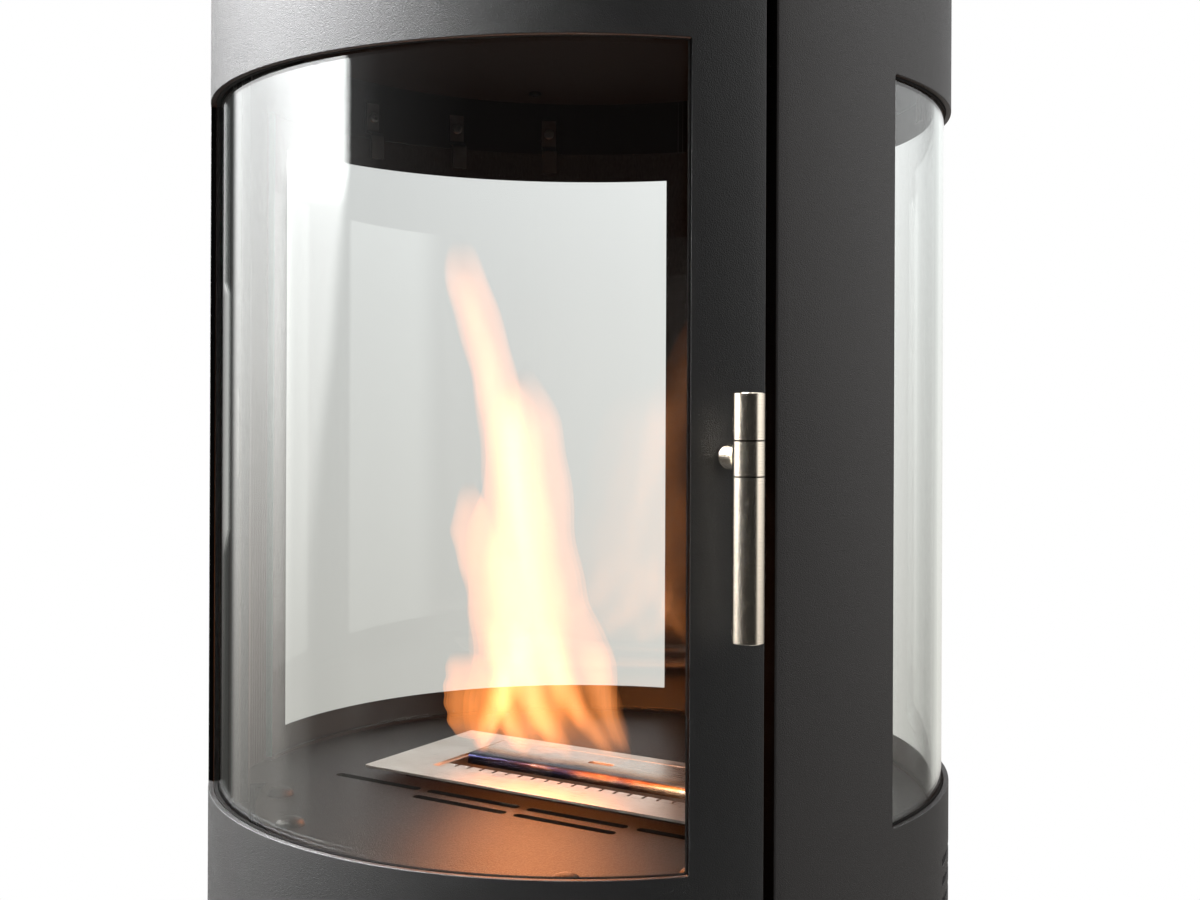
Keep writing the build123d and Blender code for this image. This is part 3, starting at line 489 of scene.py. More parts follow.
# %% Glass
pane_glass, tree, shader = new_finish("clear_float_glass", {
    "Base Color": (1, 1, 1, 1), "Transmission Weight": 1.0, "IOR": 1.5})
put(tree, shader.inputs["Roughness"], spread(tree, noise(tree, 9, 3, 0.6), 0.0, 0.012, 0.55, 0.8))
inside = add(tree, "VolumeAbsorption", {"Color": (0.50, 0.74, 0.64, 1), "Density": 14.0})
tree.links.new(inside.outputs[0], next(n for n in tree.nodes if n.type == "OUTPUT_MATERIAL").inputs["Volume"])

ground_edge, tree, shader = new_finish("ground_glass_edge")
frost = noise(tree, 1400, 3, 0.7)
put(tree, shader.inputs["Base Color"], blend_colours(tree, frost, (0.03, 0.15, 0.12), (0.10, 0.28, 0.23)))
skin(tree, shader, frost, (0.3, 0.5), 0.3, 0.0001)
print("glass absorbs", inside.inputs["Density"].default_value, "per metre")

# %% [markdown]
# Every CAD node now gets the finish that its slot in the record asks for. A few nodes share a slot but not a
# tone: the casing is a little lighter than the door, and the ceiling over the flame is sooty.

# %% Dress the CAD nodes
FINISHES = {
    "powder_coated_steel": charcoal_coat, "plinth_steel": plinth_coat, "inner_steel": chamber_coat,
    "floor_cap_steel": cap_coat, "zinc_plated_steel": zinc_metal, "spring_steel": spring_metal,
    "bearing_brass": brass_metal, "brushed_handle_steel": handle_metal, "stainless_steel": burner_metal,
    "heat_tinted_steel": tinted_metal, "clear_glass": pane_glass, "black_seal": seal_fibre,
    "ceramic_wool": wool_fibre,
}
OTHER_FINISHES = {"chamber_floor": chamber_coat, "heat_baffle": soot_coat, "body_shell": casing_coat,
                  "top_plate": casing_coat, "base_plate": casing_coat}
for row in frame["record"]["subparts"]:
    slots = nodes[row["node"]].data.materials
    slots.clear()
    slots.append(OTHER_FINISHES.get(row["node"], FINISHES[row["material_slot"]]))

# %% [markdown]
# The door and the casing are one rolled sheet each, 3 mm thick, with their windows cut out and their upright
# edges folded in. The CAD solids have sharp edges and straight facets. Real sheet has a small radius at each
# fold and a broken edge round each cut-out, and these catch the thin bright lines of the photograph. So each
# sheet is drawn flat, as its developed length and height, divided into triangles round its cut-outs, given its
# thickness, and then rolled and folded along a line. Every column of points lies on the rolled line, which
# keeps the curve true.

# %% Sheets drawn flat and then rolled
SHEET, BREAK, FOLD = 3.0, 0.4, 1.1
OUTER_RADIUS = 215.0
FOLD_RUN = math.pi / 2 * FOLD
SHARP_ANGLE = 11.0


def face_values(mesh, what):
    """The normals or centres of a mesh's faces as an array."""
    values = np.empty(len(mesh.polygons) * 3, np.float32)
    mesh.polygons.foreach_get(what, values)
    return values.reshape(-1, 3)


def choose_finish(piece, numbers):
    """Which of the piece's finishes each face has."""
    piece.data.polygons.foreach_set("material_index", numbers.astype(np.int32))


def settle(piece, body, slot, *finishes, replaced=None):
    """Give a piece its finishes and its body, and hide the CAD node that it stands in for. The slot is not used.
    """
    for finish in finishes:
        piece.data.materials.append(finish)
    if replaced:
        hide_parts(replaced)
    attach(piece, body)
    print(piece.name, len(piece.data.polygons), "faces")


def rolled(centre, roll):
    """How a flat sheet's points become the real one's. Up to roll from its middle the sheet follows the circle,
    then its outer face turns through a quarter circle of radius FOLD and runs straight in. depth is measured
    inwards from the outer face, and a layer deeper than FOLD has a sharp corner there."""
    def place(along, depth, height):
        side, run = np.sign(along), np.abs(along)
        angle = centre + side * np.minimum(run, roll) / OUTER_RADIUS
        turn = np.clip((run - roll) / FOLD_RUN, 0, 1) * np.pi / 2
        straight = np.clip(run - roll - FOLD_RUN, 0, None)
        corner, bend = np.maximum(FOLD, depth), np.maximum(FOLD - depth, 0)
        inwards = np.where(run < roll, depth, np.maximum(corner, FOLD + straight) - bend * np.cos(turn))
        sideways = np.where(run < roll, 0, FOLD - corner + bend * np.sin(turn)) * side
        out = np.stack([np.sin(angle), -np.cos(angle)], axis=-1)
        beside = np.stack([np.cos(angle), np.sin(angle)], axis=-1)
        return np.column_stack([(OUTER_RADIUS - inwards)[:, None] * out + sideways[:, None] * beside, height])
    return place


def box_loop(first, last, low, high, corner, columns):
    """Outline of a box with round corners, anticlockwise, with a point at every column of its level sides.
    Returns the points and the directions that lead straight out of the box."""
    inner = columns[(columns > first + corner + 0.2) & (columns < last - corner - 0.2)]
    sides = ((-90, last, low, inner), (0, last, high, []),
             (90, first, high, inner[::-1]), (180, first, low, []))
    points, ways = [], []
    for turn, x, y, side in sides:
        way = np.radians(turn)
        points.append(np.column_stack([side, np.full(len(side), y)]))
        ways.append(np.tile([np.cos(way), np.sin(way)], (len(side), 1)))
        arc = way + np.linspace(0, np.pi / 2, 5)
        middle = (x + (-corner if x == last else corner), y + (corner if y == low else -corner))
        ways.append(np.column_stack([np.cos(arc), np.sin(arc)]))
        points.append(np.array(middle) + corner * ways[-1])
    points, ways = np.concatenate(points), np.concatenate(ways)
    new = np.linalg.norm(points - np.roll(points, 1, axis=0), axis=1) > 1e-4
    return points[new], ways[new]


def cut_sheet(name, outer, holes, columns, place, thick=SHEET, broken=BREAK):
    """A sheet between its outer outline and its holes, put where place(along, depth, height) says. Its layers
    follow a quarter circle of radius broken at both faces: at an angle a they stand in from the edge by broken
    times (1 - sine a) and below the face by broken times (1 - cosine a)."""
    loops = [(points - broken * ways, points) for points, ways in [outer]]
    loops += [(points + broken * ways, points) for points, ways in holes]
    flat = np.concatenate([face for face, _ in loops])
    starts = np.cumsum([0] + [len(face) for face, _ in loops])
    edges = [(a, b) for low, high in zip(starts, starts[1:])
             for a, b in zip(range(low, high), [*range(low + 1, high), low])]
    for column in columns:
        on_column = np.flatnonzero(np.abs(flat[:, 0] - column) < 1e-6)
        on_column = on_column[np.argsort(flat[on_column, 1])]
        edges += list(zip(on_column[0::2].tolist(), on_column[1::2].tolist()))
    made = delaunay_2d_cdt([Vector(point) for point in flat], edges, [], 0, 1e-6, True)
    origin = np.array([source[0] for source in made[3]])
    triangles = origin[np.array([list(face) for face in made[2]])]
    middle = flat[triangles].mean(axis=1)

    def within(loop):
        ahead = np.roll(loop, -1, axis=0)
        over = (loop[:, 1] > middle[:, None, 1]) != (ahead[:, 1] > middle[:, None, 1])
        rise = np.where(ahead[:, 1] == loop[:, 1], 1, ahead[:, 1] - loop[:, 1])
        crossing = loop[:, 0] + (middle[:, None, 1] - loop[:, 1]) * (ahead[:, 0] - loop[:, 0]) / rise
        return (over & (middle[:, None, 0] < crossing)).sum(axis=1) % 2 == 1

    kept = within(loops[0][0])
    for face, _ in loops[1:]:
        kept &= ~within(face)
    triangles = triangles[kept]
    count = len(flat)
    edge_points = np.concatenate([edge for _, edge in loops])
    rounds = [(flat + (edge_points - flat) * math.sin(turn), broken * (1 - math.cos(turn)))
              for turn in np.linspace(0, math.pi / 2, 5)]
    layers = rounds + [(level, thick - depth) for level, depth in rounds[::-1]]
    solid = [place(level[:, 0], np.full(count, depth), level[:, 1]) for level, depth in layers]
    walls = []
    for number, (low, high) in enumerate(zip(starts, starts[1:])):
        here = np.arange(low, high)
        ahead = np.roll(here, -1)
        for foot in np.arange(len(layers) - 1) * count:
            wall = np.stack([here + foot, ahead + foot, ahead + foot + count, here + foot + count], axis=1)
            walls.append(wall[:, ::-1] if number == 0 else wall)
    back = triangles[:, ::-1] + (len(layers) - 1) * count
    return new_mesh(name, np.concatenate(solid) * MM, [triangles, back, *walls], smooth=SHARP_ANGLE)


def sheet_columns(roll, windows, pitch=3.6):
    """Columns of points along a sheet: even on the roll, closer on the folds, none across a window's corner."""
    even = np.arange(-math.floor(roll / pitch), math.floor(roll / pitch) + 1) * pitch
    even = even[np.abs(even) < roll - SHEET]
    folds = roll + np.linspace(0, FOLD_RUN, 6)
    columns = np.concatenate([-folds[::-1], even, folds])
    for first, last, *_, corner in windows:
        for edge in (first, last):
            columns = columns[np.abs(columns - edge) > corner + 1.0]
    return columns


def bent_sheet(name, end, low, high, corner, roll, windows, place, *gauge):
    """A sheet cut at its end, low and high, with its windows as (first, last, low, high, corner)."""
    columns = sheet_columns(roll, windows)
    return cut_sheet(name, box_loop(-end, end, low, high, corner, columns),
                     [box_loop(*window, columns) for window in windows], columns, place, *gauge)


def face_inside(piece, chamber_foot):
    """Faces that look at the axis above the chamber's foot get the second finish, the cut sides the third. The
    third, and on the casing the second, are near-black coats that paint shade.
    """
    normals, middles = face_values(piece.data, "normal"), face_values(piece.data, "center")
    outwards = (normals * middles)[:, :2].sum(axis=1) / np.linalg.norm(middles[:, :2], axis=1)
    cut = (np.abs(outwards) < 0.3) & (np.abs(normals[:, 2]) < 0.7)
    inside = (outwards < -0.4) & (middles[:, 2] > chamber_foot)
    choose_finish(piece, np.where(cut, 2, inside))


# %% [markdown]
# The measures are the CAD model's: degrees from the front, heights above the ground. The casing's middle is at
# the back, so its openings count from there.

# %% Door and casing
DEGREE = OUTER_RADIUS * math.pi / 180
FOLD_SHARE = math.asin(FOLD / OUTER_RADIUS) * OUTER_RADIUS
WINDOW_SIDE, WINDOW_FOOT, WINDOW_HEAD = 45.6 * DEGREE, 545, 927
DOOR_EDGE, DOOR_FOLD_END, DOOR_FOOT, DOOR_HEAD = 55.7, 204, 33, 1023
CASING_EDGE, CASING_FOLD_END, CASING_FOOT, CASING_HEAD = 57.192, 199.5, 30, 1026
SHEET_CORNER, WINDOW_CORNER, SIDE_CORNER = 0.8, 1.0, 1.5
SIDE_WINDOW, SIDE_FOOT, SIDE_HEAD = (78.805, 165.61), 548.4, 924.9
VENT_MIDDLE, VENT_HALF, VENT_HIGH, VENT_WIDE, VENT_PITCH = 107.99, 37.5, 514.55, 4.5, 11
CHAMBER_FOOT = 0.53


def sheet_runs(degrees, fold_end):
    """How far a sheet rolls from its middle to the fold, and how far it runs in all, to its folded edge."""
    roll = degrees * DEGREE - FOLD_SHARE
    return roll, roll + FOLD_RUN + OUTER_RADIUS - FOLD - fold_end


door_roll, door_end = sheet_runs(DOOR_EDGE, DOOR_FOLD_END)
door_window = (-WINDOW_SIDE, WINDOW_SIDE, WINDOW_FOOT, WINDOW_HEAD, WINDOW_CORNER)
door_sheet = bent_sheet("door_sheet", door_end, DOOR_FOOT, DOOR_HEAD, SHEET_CORNER, door_roll, [door_window],
                        rolled(0.0, door_roll))
# painted shade: the door's cut sides get the near-black coat
settle(door_sheet, "door", "powder_coated_steel", charcoal_coat, charcoal_coat, painted_shade_coat,
       replaced="door_leaf")
face_inside(door_sheet, 0)

casing_roll, casing_end = sheet_runs(180 - CASING_EDGE, CASING_FOLD_END)
openings = []
for side in (-1, 1):
    near, far = sorted(side * (180 - angle) * DEGREE for angle in SIDE_WINDOW)
    vent = side * (180 - VENT_MIDDLE) * DEGREE
    vent_tops = VENT_HIGH - VENT_PITCH * np.arange(6)
    openings.append((near, far, SIDE_FOOT, SIDE_HEAD, SIDE_CORNER))
    openings += [(vent - VENT_HALF, vent + VENT_HALF, top - VENT_WIDE, top, VENT_WIDE / 2) for top in vent_tops]
casing_sheet = bent_sheet("casing_sheet", casing_end, CASING_FOOT, CASING_HEAD, SHEET_CORNER, casing_roll,
                          openings, rolled(math.pi, casing_roll))
# painted shade: the casing's cut sides get the near-black coat
# painted shade: the casing's inside faces over the chamber get the near-black copy of its coat
settle(casing_sheet, "casing", "powder_coated_steel", casing_coat, inner_painted_shade_coat, painted_shade_coat,
       replaced="body_shell")
face_inside(casing_sheet, CHAMBER_FOOT)

# %% [markdown]
# The door's seal lies between the sheet and the pane and shows as a black line inside the window's edge. It is
# a sheet of its own, curled to a smaller radius and cut out a little closer than the window.

# %% Seal of the door
SEAL_OUTER, SEAL_THICK, SEAL_BREAK = 211.9, 2.2, 0.3
SEAL_SIDE, SEAL_FOOT, SEAL_HEAD, LIP = 48.5 * DEGREE, 536, 936, 0.3


def curled(along, depth, height):
    """Points of a flat sheet bent to the seal's radius, with along kept as it is on the shell."""
    angle = along / OUTER_RADIUS
    radius = SEAL_OUTER - depth
    return np.column_stack([radius * np.sin(angle), -radius * np.cos(angle), height])


seal_opening = (LIP - WINDOW_SIDE, WINDOW_SIDE - LIP, WINDOW_FOOT + LIP, WINDOW_HEAD - LIP, WINDOW_CORNER)
seal = bent_sheet("door_seal_cord", SEAL_SIDE, SEAL_FOOT, SEAL_HEAD, WINDOW_CORNER, SEAL_SIDE, [seal_opening],
                  curled, SEAL_THICK, SEAL_BREAK)
settle(seal, "door", "black_seal", seal_fibre, replaced="door_seal")

# %% [markdown]
# The burner's tray is one flat sheet on a skirt that stands well in from its rim, so the floor runs in under
# the bright cut edge. The skirt is a dark copy of the stainless, painted shade for its place under the rim. Its
# lid is bent over at the front. Both come from the same function as the shell, laid flat: for the lid, the
# first coordinate runs back to front over the plate and then down the bent lip.

# %% Burner sheets
TRAY_TOP, TRAY_SHEET, FINE_BREAK = 538.7, 1.5, 0.12
LID_BACK, LID_FRONT, LID_BEND, LID_LIP = 43.9, 1.0, 5.0, 1.0
LID_SHEET, LID_BREAK = 1.2, 0.1
TRAY_RIM, TRAY_OPENING = (-121.5, 121.5, -54.5, 54.5, 1.5), (-86, 86, -32.9, 44.5, 1.0)
SKIRT_RIM, SKIRT_OPENING, SKIRT_HIGH = (-101, 101, -41, 53, 1.5), (-99.5, 99.5, -39.5, 51.5, 1.0), 5.5
LID_HALF, TOOL_SLOT = 85.3, (16.4, 21.4, -9, 9, 2.4)


def laid_flat(top):
    """Points of a level plate: the first coordinate is x, the third y."""
    def place(along, depth, across):
        return np.column_stack([along, across, top - depth])
    return place


def bent_lip(back, front, top, bend):
    """A plate that runs from back to front and turns down round a quarter circle whose outer radius is bend."""
    flat_run = back - front - bend

    def place(along, depth, across):
        turn = np.clip((along - flat_run) / bend, 0, np.pi / 2)
        down = np.clip(along - flat_run - np.pi / 2 * bend, 0, None)
        level = back - np.minimum(along, flat_run) - (bend - depth) * np.sin(turn)
        return np.column_stack([across, level, top - bend - down + (bend - depth) * np.cos(turn)])
    return place, flat_run


none = np.array([])
tray_top = cut_sheet("burner_tray_top", box_loop(*TRAY_RIM, none), [box_loop(*TRAY_OPENING, none)], none,
                     laid_flat(TRAY_TOP), TRAY_SHEET, FINE_BREAK)
tray_skirt = cut_sheet("burner_tray_skirt", box_loop(*SKIRT_RIM, none), [box_loop(*SKIRT_OPENING, none)], none,
                       laid_flat(TRAY_TOP - TRAY_SHEET), SKIRT_HIGH, FINE_BREAK)
lid_place, flat_run = bent_lip(LID_BACK, LID_FRONT, TRAY_TOP, LID_BEND)
bent_run = np.pi / 2 * LID_BEND
lid_columns = np.concatenate([[2.0, 10.0, 30.0], flat_run + np.linspace(0, bent_run, 10)])
lid_end = flat_run + bent_run + LID_LIP
lid_sheet = cut_sheet("burner_lid_sheet", box_loop(0, lid_end, -LID_HALF, LID_HALF, 1.5, lid_columns),
                      [box_loop(*TOOL_SLOT, none)], lid_columns, lid_place, LID_SHEET, LID_BREAK)
settle(tray_top, "burner", "stainless_steel", burner_metal, replaced="burner_tray")
settle(tray_skirt, "burner", "stainless_steel", painted_shade_metal)
settle(lid_sheet, "lid", "heat_tinted_steel", tinted_metal, replaced="burner_lid")

# %% [markdown]
# A pane is a section carried round the axis. The section is a box, radius by height, with its corners ground
# off, and smaller copies close its two ends, so the upright edges are ground too. One degree per step keeps the
# limb smooth.

# %% Curved panes
GROUND = 0.5
PANES = {"door_glass": ("door", 204.6, 209.6, -48.6, 48.6, 534, 938),
         "side_glass_left": ("casing", 206, 211, -171.04, -73.37, 533.7, 943.6),
         "side_glass_right": ("casing", 206, 211, 73.37, 171.04, 533.7, 943.6)}


def pane(name, inner, outer, first, last, low, high):
    """A curved pane between two radii, two angles in degrees and two heights, in mm."""
    def section(inset):
        """The section's corners, clockwise, that far inside the pane."""
        near, far, foot, top = inner + inset, outer - inset, low + inset, high - inset
        cut = GROUND if inset == 0 else 0.1 * GROUND
        return np.array([(far, top - cut), (far, foot + cut), (far - cut, foot), (near + cut, foot),
                         (near, foot + cut), (near, top - cut), (near + cut, top), (far - cut, top)])
    edge = math.degrees(GROUND / outer)
    turns = np.radians([first, *np.linspace(first + edge, last - edge, int(last - first) + 1), last])[:, None]
    sections = np.array([section(GROUND)] + [section(0)] * (len(turns) - 2) + [section(GROUND)])
    radius, height = sections[..., 0], sections[..., 1]
    points = np.stack([radius * np.sin(turns), -radius * np.cos(turns), height], axis=-1).reshape(-1, 3)
    ends = np.array([np.arange(8)[::-1], np.arange(8) + 8 * (len(turns) - 1)])
    made = new_mesh(name, points * MM, [grid_faces(len(turns), 8, around=True), ends])
    made.visible_shadow = False
    return made


for node, (body, *sizes) in PANES.items():
    piece = pane(node.replace("glass", "pane"), *sizes)
    settle(piece, body, "clear_glass", pane_glass, ground_edge, replaced=node)
    normals, middles = face_values(piece.data, "normal"), face_values(piece.data, "center")
    along = normals[:, 1] * middles[:, 0] - normals[:, 0] * middles[:, 1]
    choose_finish(piece, np.abs(along) / np.linalg.norm(middles[:, :2], axis=1) > 0.5)

# %% [markdown]
# The handle's bar is turned on a lathe in three lengths. A profile of radius over height, spun round the bar's
# axis, gives each one. A half groove at its end makes the dark line of each joint, and the groove's faces get
# the near-black coat as painted shade.

# %% Turned handle
BAR_FOOT, BAR_RADIUS = (182.2, -149.2, 0), 7.35
POST_ANGLE, POST_HEIGHT = 50.65, 736.0
POST = [(0, 190.5), (4, 190.5), (4, 215.3), (5.3, 215.3), (5.8, 215.8), (5.8, 229), (0, 229)]


def spun(profile, foot, axis=(0, 0, 1), steps=96):
    """Points and faces of a profile of (radius, distance along the axis) in mm spun round an axis that starts
    at foot. It begins and ends on the axis, so it is closed. A radius may be an array, one value a step."""
    line = Vector(axis).normalized()
    first = line.orthogonal().normalized()
    second = line.cross(first)
    turn = np.linspace(0, 2 * np.pi, steps, endpoint=False)
    around = np.cos(turn)[:, None] * np.array(first) + np.sin(turn)[:, None] * np.array(second)
    rings = [np.array(foot) + (radius + 0 * turn)[:, None] * around + level * np.array(line)
             for radius, level in profile]
    return np.concatenate(rings) * MM, grid_faces(len(rings), steps, around=True)


def joined(shapes):
    """Points and faces of several shapes as one."""
    starts = np.cumsum([0] + [len(points) for points, _ in shapes])
    return (np.concatenate([points for points, _ in shapes]),
            np.concatenate([faces + start for (_, faces), start in zip(shapes, starts)]))


def heading(degrees):
    """The level direction at an angle from the front."""
    return np.array([math.sin(math.radians(degrees)), -math.cos(math.radians(degrees)), 0])


def bar_profile(low, high, foot_groove, head_groove):
    """A bar from low to high. A groove at an end is the half of a joint, 0.3 mm high and 1 mm deep, or without
    one the end is broken by 0.3 mm."""
    rim, broken, groove = BAR_RADIUS, BAR_RADIUS - 0.3, BAR_RADIUS - 1
    foot, head = [(broken, low), (rim, low + 0.3)], [(rim, high - 0.3), (broken, high)]
    if foot_groove:
        foot = [(groove, low), (groove, low + 0.3), (rim, low + 0.32)]
    if head_groove:
        head = [(rim, high - 0.32), (groove, high - 0.3), (groove, high)]
    return [(0, low), *foot, *head, (0, high)]


BARS = {"handle_grip": (653.8, 728, False, True), "handle_collar": (728, 744, True, True),
        "handle_cap": (744, 765.3, True, False)}
for node, sizes in BARS.items():
    points, faces = spun(bar_profile(*sizes), BAR_FOOT)
    piece = new_mesh(node.replace("handle", "turned"), points, [faces])
    settle(piece, "handle", "brushed_handle_steel", handle_metal, painted_shade_coat, replaced=node)
    from_bar = np.linalg.norm(face_values(piece.data, "center")[:, :2] / MM - BAR_FOOT[:2], axis=1)
    upright = face_values(piece.data, "normal")[:, 2] ** 2 < 0.9
    # painted shade: the groove faces get the near-black coat
    choose_finish(piece, (from_bar < BAR_RADIUS - 0.4) & upright)
points, faces = spun(POST, (0, 0, POST_HEIGHT), heading(POST_ANGLE))
post = new_mesh("turned_post", points, [faces])
settle(post, "handle", "brushed_handle_steel", post_metal, replaced="handle_post")

# %% [markdown]
# The floor has four domed caps. The function that turned the bar draws one, and four copies make one piece.

# %% Floor caps
CAP_REACH, FLOOR_TOP = 176.0, 531.7
CAP_ANGLES = (-50.6, -30.1, 30.1, 50.6)
DOME = [(0, 0), (8, 0), (7.9, 0.8), (7.4, 1.9), (6.3, 3.0), (4.6, 3.85), (2.5, 4.35), (0, 4.5)]
cap_feet = [CAP_REACH * heading(angle) + (0, 0, FLOOR_TOP) for angle in CAP_ANGLES]
points, faces = joined([spun(DOME, foot, steps=48) for foot in cap_feet])
cap_domes = new_mesh("floor_cap_domes", points, [faces], smooth=50.0)
settle(cap_domes, "casing", "floor_cap_steel", chamber_coat, replaced="floor_caps")

# %% [markdown]
# Small screws hold the clips, clamps, the keeper and the ceiling. Each is a spun head with a six-sided socket:
# the socket's radius follows a hexagon, the rest of the head is round.

# %% Socket screws
def screw(centre, axis, radius=3.6, height=2.2):
    """Points and faces of a head whose base is at centre, in mm. Its profile runs from the socket's floor out
    and down to the base, and the socket's wall follows a hexagon: R cos 30 / cos(angle within a side)."""
    turn = np.linspace(0, 2 * np.pi, 24, endpoint=False)
    hexagon = 0.52 * radius * math.cos(math.pi / 6) / np.cos((turn + math.pi / 6) % (math.pi / 3) - math.pi / 6)
    profile = [(0, 0.35 * height), (hexagon, 0.35 * height), (hexagon, height), (0.78 * radius, height),
               (0.93 * radius, 0.9 * height), (radius, 0.66 * height), (radius, 0), (0, 0)]
    points, faces = spun(profile, centre, axis, 24)
    return points, faces[:, ::-1]


def screws(name, body, places, slot="zinc_plated_steel", finish=zinc_metal, **sizes):
    """One piece with a screw at each (centre, axis)."""
    points, faces = joined([screw(*place, **sizes) for place in places])
    settle(new_mesh(name, points, [faces]), body, slot, finish)


def at(degrees, radius, height):
    """A point at an angle from the front."""
    return radius * heading(degrees) + (0, 0, height)


def inward(degrees, height, radius=210.0):
    """Place of a head that points at the axis."""
    return at(degrees, radius, height), -heading(degrees)


KEEPER_ANGLE, KEEPER_HEIGHT = 58.85, 736.0
across_keeper = (math.cos(math.radians(KEEPER_ANGLE)), math.sin(math.radians(KEEPER_ANGLE)), 0)
screws("side_clip_screws", "casing",
       [inward(side * angle, 958.8) for side in (-1, 1) for angle in (103, 121.8, 141)])
screws("door_clip_screws", "door",
       [inward(angle, height) for angle in (-38, 0, 38) for height in (953.2, 518.8)])
screws("clamp_screws", "door",
       [inward(angle, height + step) for angle, height in ((-51, 742), (51, 666), (51, 806))
        for step in (-18, 18)], radius=3.0, height=2.0)
screws("keeper_screws", "casing",
       [(at(KEEPER_ANGLE, 203, KEEPER_HEIGHT + step), across_keeper) for step in (-8, 8)],
       radius=3.0, height=2.0)
screws("baffle_screws", "casing", [(at(45 + 90 * k, 150, 976.7), (0, 0, -1)) for k in range(4)],
       slot="inner_steel", finish=soot_coat, radius=4.5, height=2.6)

# %% [markdown]
# A flame is glowing gas with no surface: bright and yellow where it is thick, and fading to orange at its rim.
# Smoke simulation could make it, but the flame is part of a still, so nested skins do: each tongue is a set of
# closed, wavy spindles one inside the other, every skin nearly clear and softly glowing. A line of sight
# through the middle crosses them all and adds up to white, one near the rim crosses only a few.

# %% Flame
FOCAL_PIXELS, LEVEL_LINE, MIDDLE_COLUMN = 1439.53, 400.06, 600
FIRE_LINE = SLOT_CENTRE[1] / MM
SLANT, RUFFLE = 0.955, 0.06
RINGS, RING_POINTS = 60, 22
ROOT, FADE, FADE_RUN, TIP = 0.02, 0.82, 0.16, 0.86
FOLDS_LEVEL, PALE_LEVEL, LEVEL_RUN = 620, 625, 60


def seen(column, line):
    """Where a point of the picture lies on the upright plane along the burner's slot: (height, x) in mm."""
    beside, over = (column - MIDDLE_COLUMN) / FOCAL_PIXELS, (LEVEL_LINE - line) / FOCAL_PIXELS
    sight = np.array(forward) + np.array(right) * beside + np.array(above) * over
    from_eye = sight * (FIRE_LINE * MM - eye.y) / sight[1] / MM
    return eye.z / MM + from_eye[2], eye.x / MM + from_eye[0]


def outline(lines):
    """Heights, offsets across, half widths and powers of a tongue, in mm, from rows of (picture line, left
    edge, right edge, power), lowest first. A tongue also has depth, so seen at a slant it looks wider than its
    width along the slot, and SLANT takes that off."""
    rows = []
    for line, left, right_edge, power in lines:
        height, first = seen(left, line)
        _, last = seen(right_edge, line)
        rows.append((height, (first + last) / 2, (last - first) / 2 * SLANT, power))
    return np.array(rows).T


def tongue(lines, skins, depth, phase, mantle=False, folds=1.0):
    """Points, faces and heat of nested skins inside an outline, where depth is their depth over their width. A
    skin is an ellipse whose radii are the width times the skin's share s, carried up the outline's middle and
    closed at both ends. Waves of one, two and three lobes that climb with height ruffle it. A skin glows with
    1.5 s sqrt(1 - s squared) / skins times the power, which adds up, over all that a line of sight crosses, to
    a glow that falls as (1 - u squared) to the power 1.5 with the distance u from the middle. A mantle's skins
    glow with 3 s to the power 5 / skins, which adds up to 1 - u to the power 6, so it is even inside and ends
    in a clear rim. Heat is 1 - s, the glow and the height."""
    heights, *drawn = outline(lines)
    climb = np.linspace(0, 1, RINGS)
    stations = (heights - heights[0]) / (heights[-1] - heights[0])
    height = heights[0] + climb * (heights[-1] - heights[0])
    kernel = np.hanning(7) / np.hanning(7).sum()
    padded = [np.pad(np.interp(climb, stations, row), 3, mode="edge") for row in drawn]
    across, half, power = (np.convolve(row, kernel, mode="valid") for row in padded)
    tip = np.clip((climb - TIP) / (1 - TIP), 0, 1)
    half = half * np.sqrt(1 - tip ** 3) * np.sqrt(np.clip(climb / ROOT, 0, 1))
    power = power * (1 - np.clip((climb - FADE) / FADE_RUN, 0, 1) ** 1.5)
    share, turn = (np.arange(skins) + 0.5) / skins, np.linspace(0, 2 * np.pi, RING_POINTS, endpoint=False)
    s, c, a = np.meshgrid(share, climb, turn, indexing="ij")
    lobes = (np.sin(3 * a + 6 * c + phase + 0.8 * s) + 0.8 * np.sin(2 * a + 11 * c + 3 * phase - 1.2 * s)
             + 0.55 * np.sin(a + 29 * c + 2 * phase))
    radius = half[:, None] * s * (1 + RUFFLE * lobes)
    sideways = across[:, None] + radius * np.cos(a)
    inwards = depth * radius * np.sin(a)
    level = height[:, None] + 0 * a
    points = np.stack([sideways, FIRE_LINE + inwards, level], axis=-1).reshape(-1, 3)
    streaks = (0.3 * np.sin(0.3 * sideways + 2.6 * np.sin(level / 38 + phase))
               + 0.2 * np.sin(0.3 * inwards + level / 25)
               + 0.15 * np.sin(0.6 * sideways - 2.3 * np.sin(level / 26)))
    strength = folds * (0.45 + 0.55 * np.clip((FOLDS_LEVEL - level) / LEVEL_RUN, 0, 1))
    shape = 3 * s ** 5 if mantle else 1.5 * s * np.sqrt(1 - s ** 2)
    glow = shape / skins * power[:, None] * np.exp(strength * streaks)
    one = grid_faces(RINGS, RING_POINTS, around=True)
    faces = np.concatenate([one + k * RINGS * RING_POINTS for k in range(skins)])
    return points * MM, faces, np.stack([1 - s, glow, level], axis=-1).reshape(-1, 3)


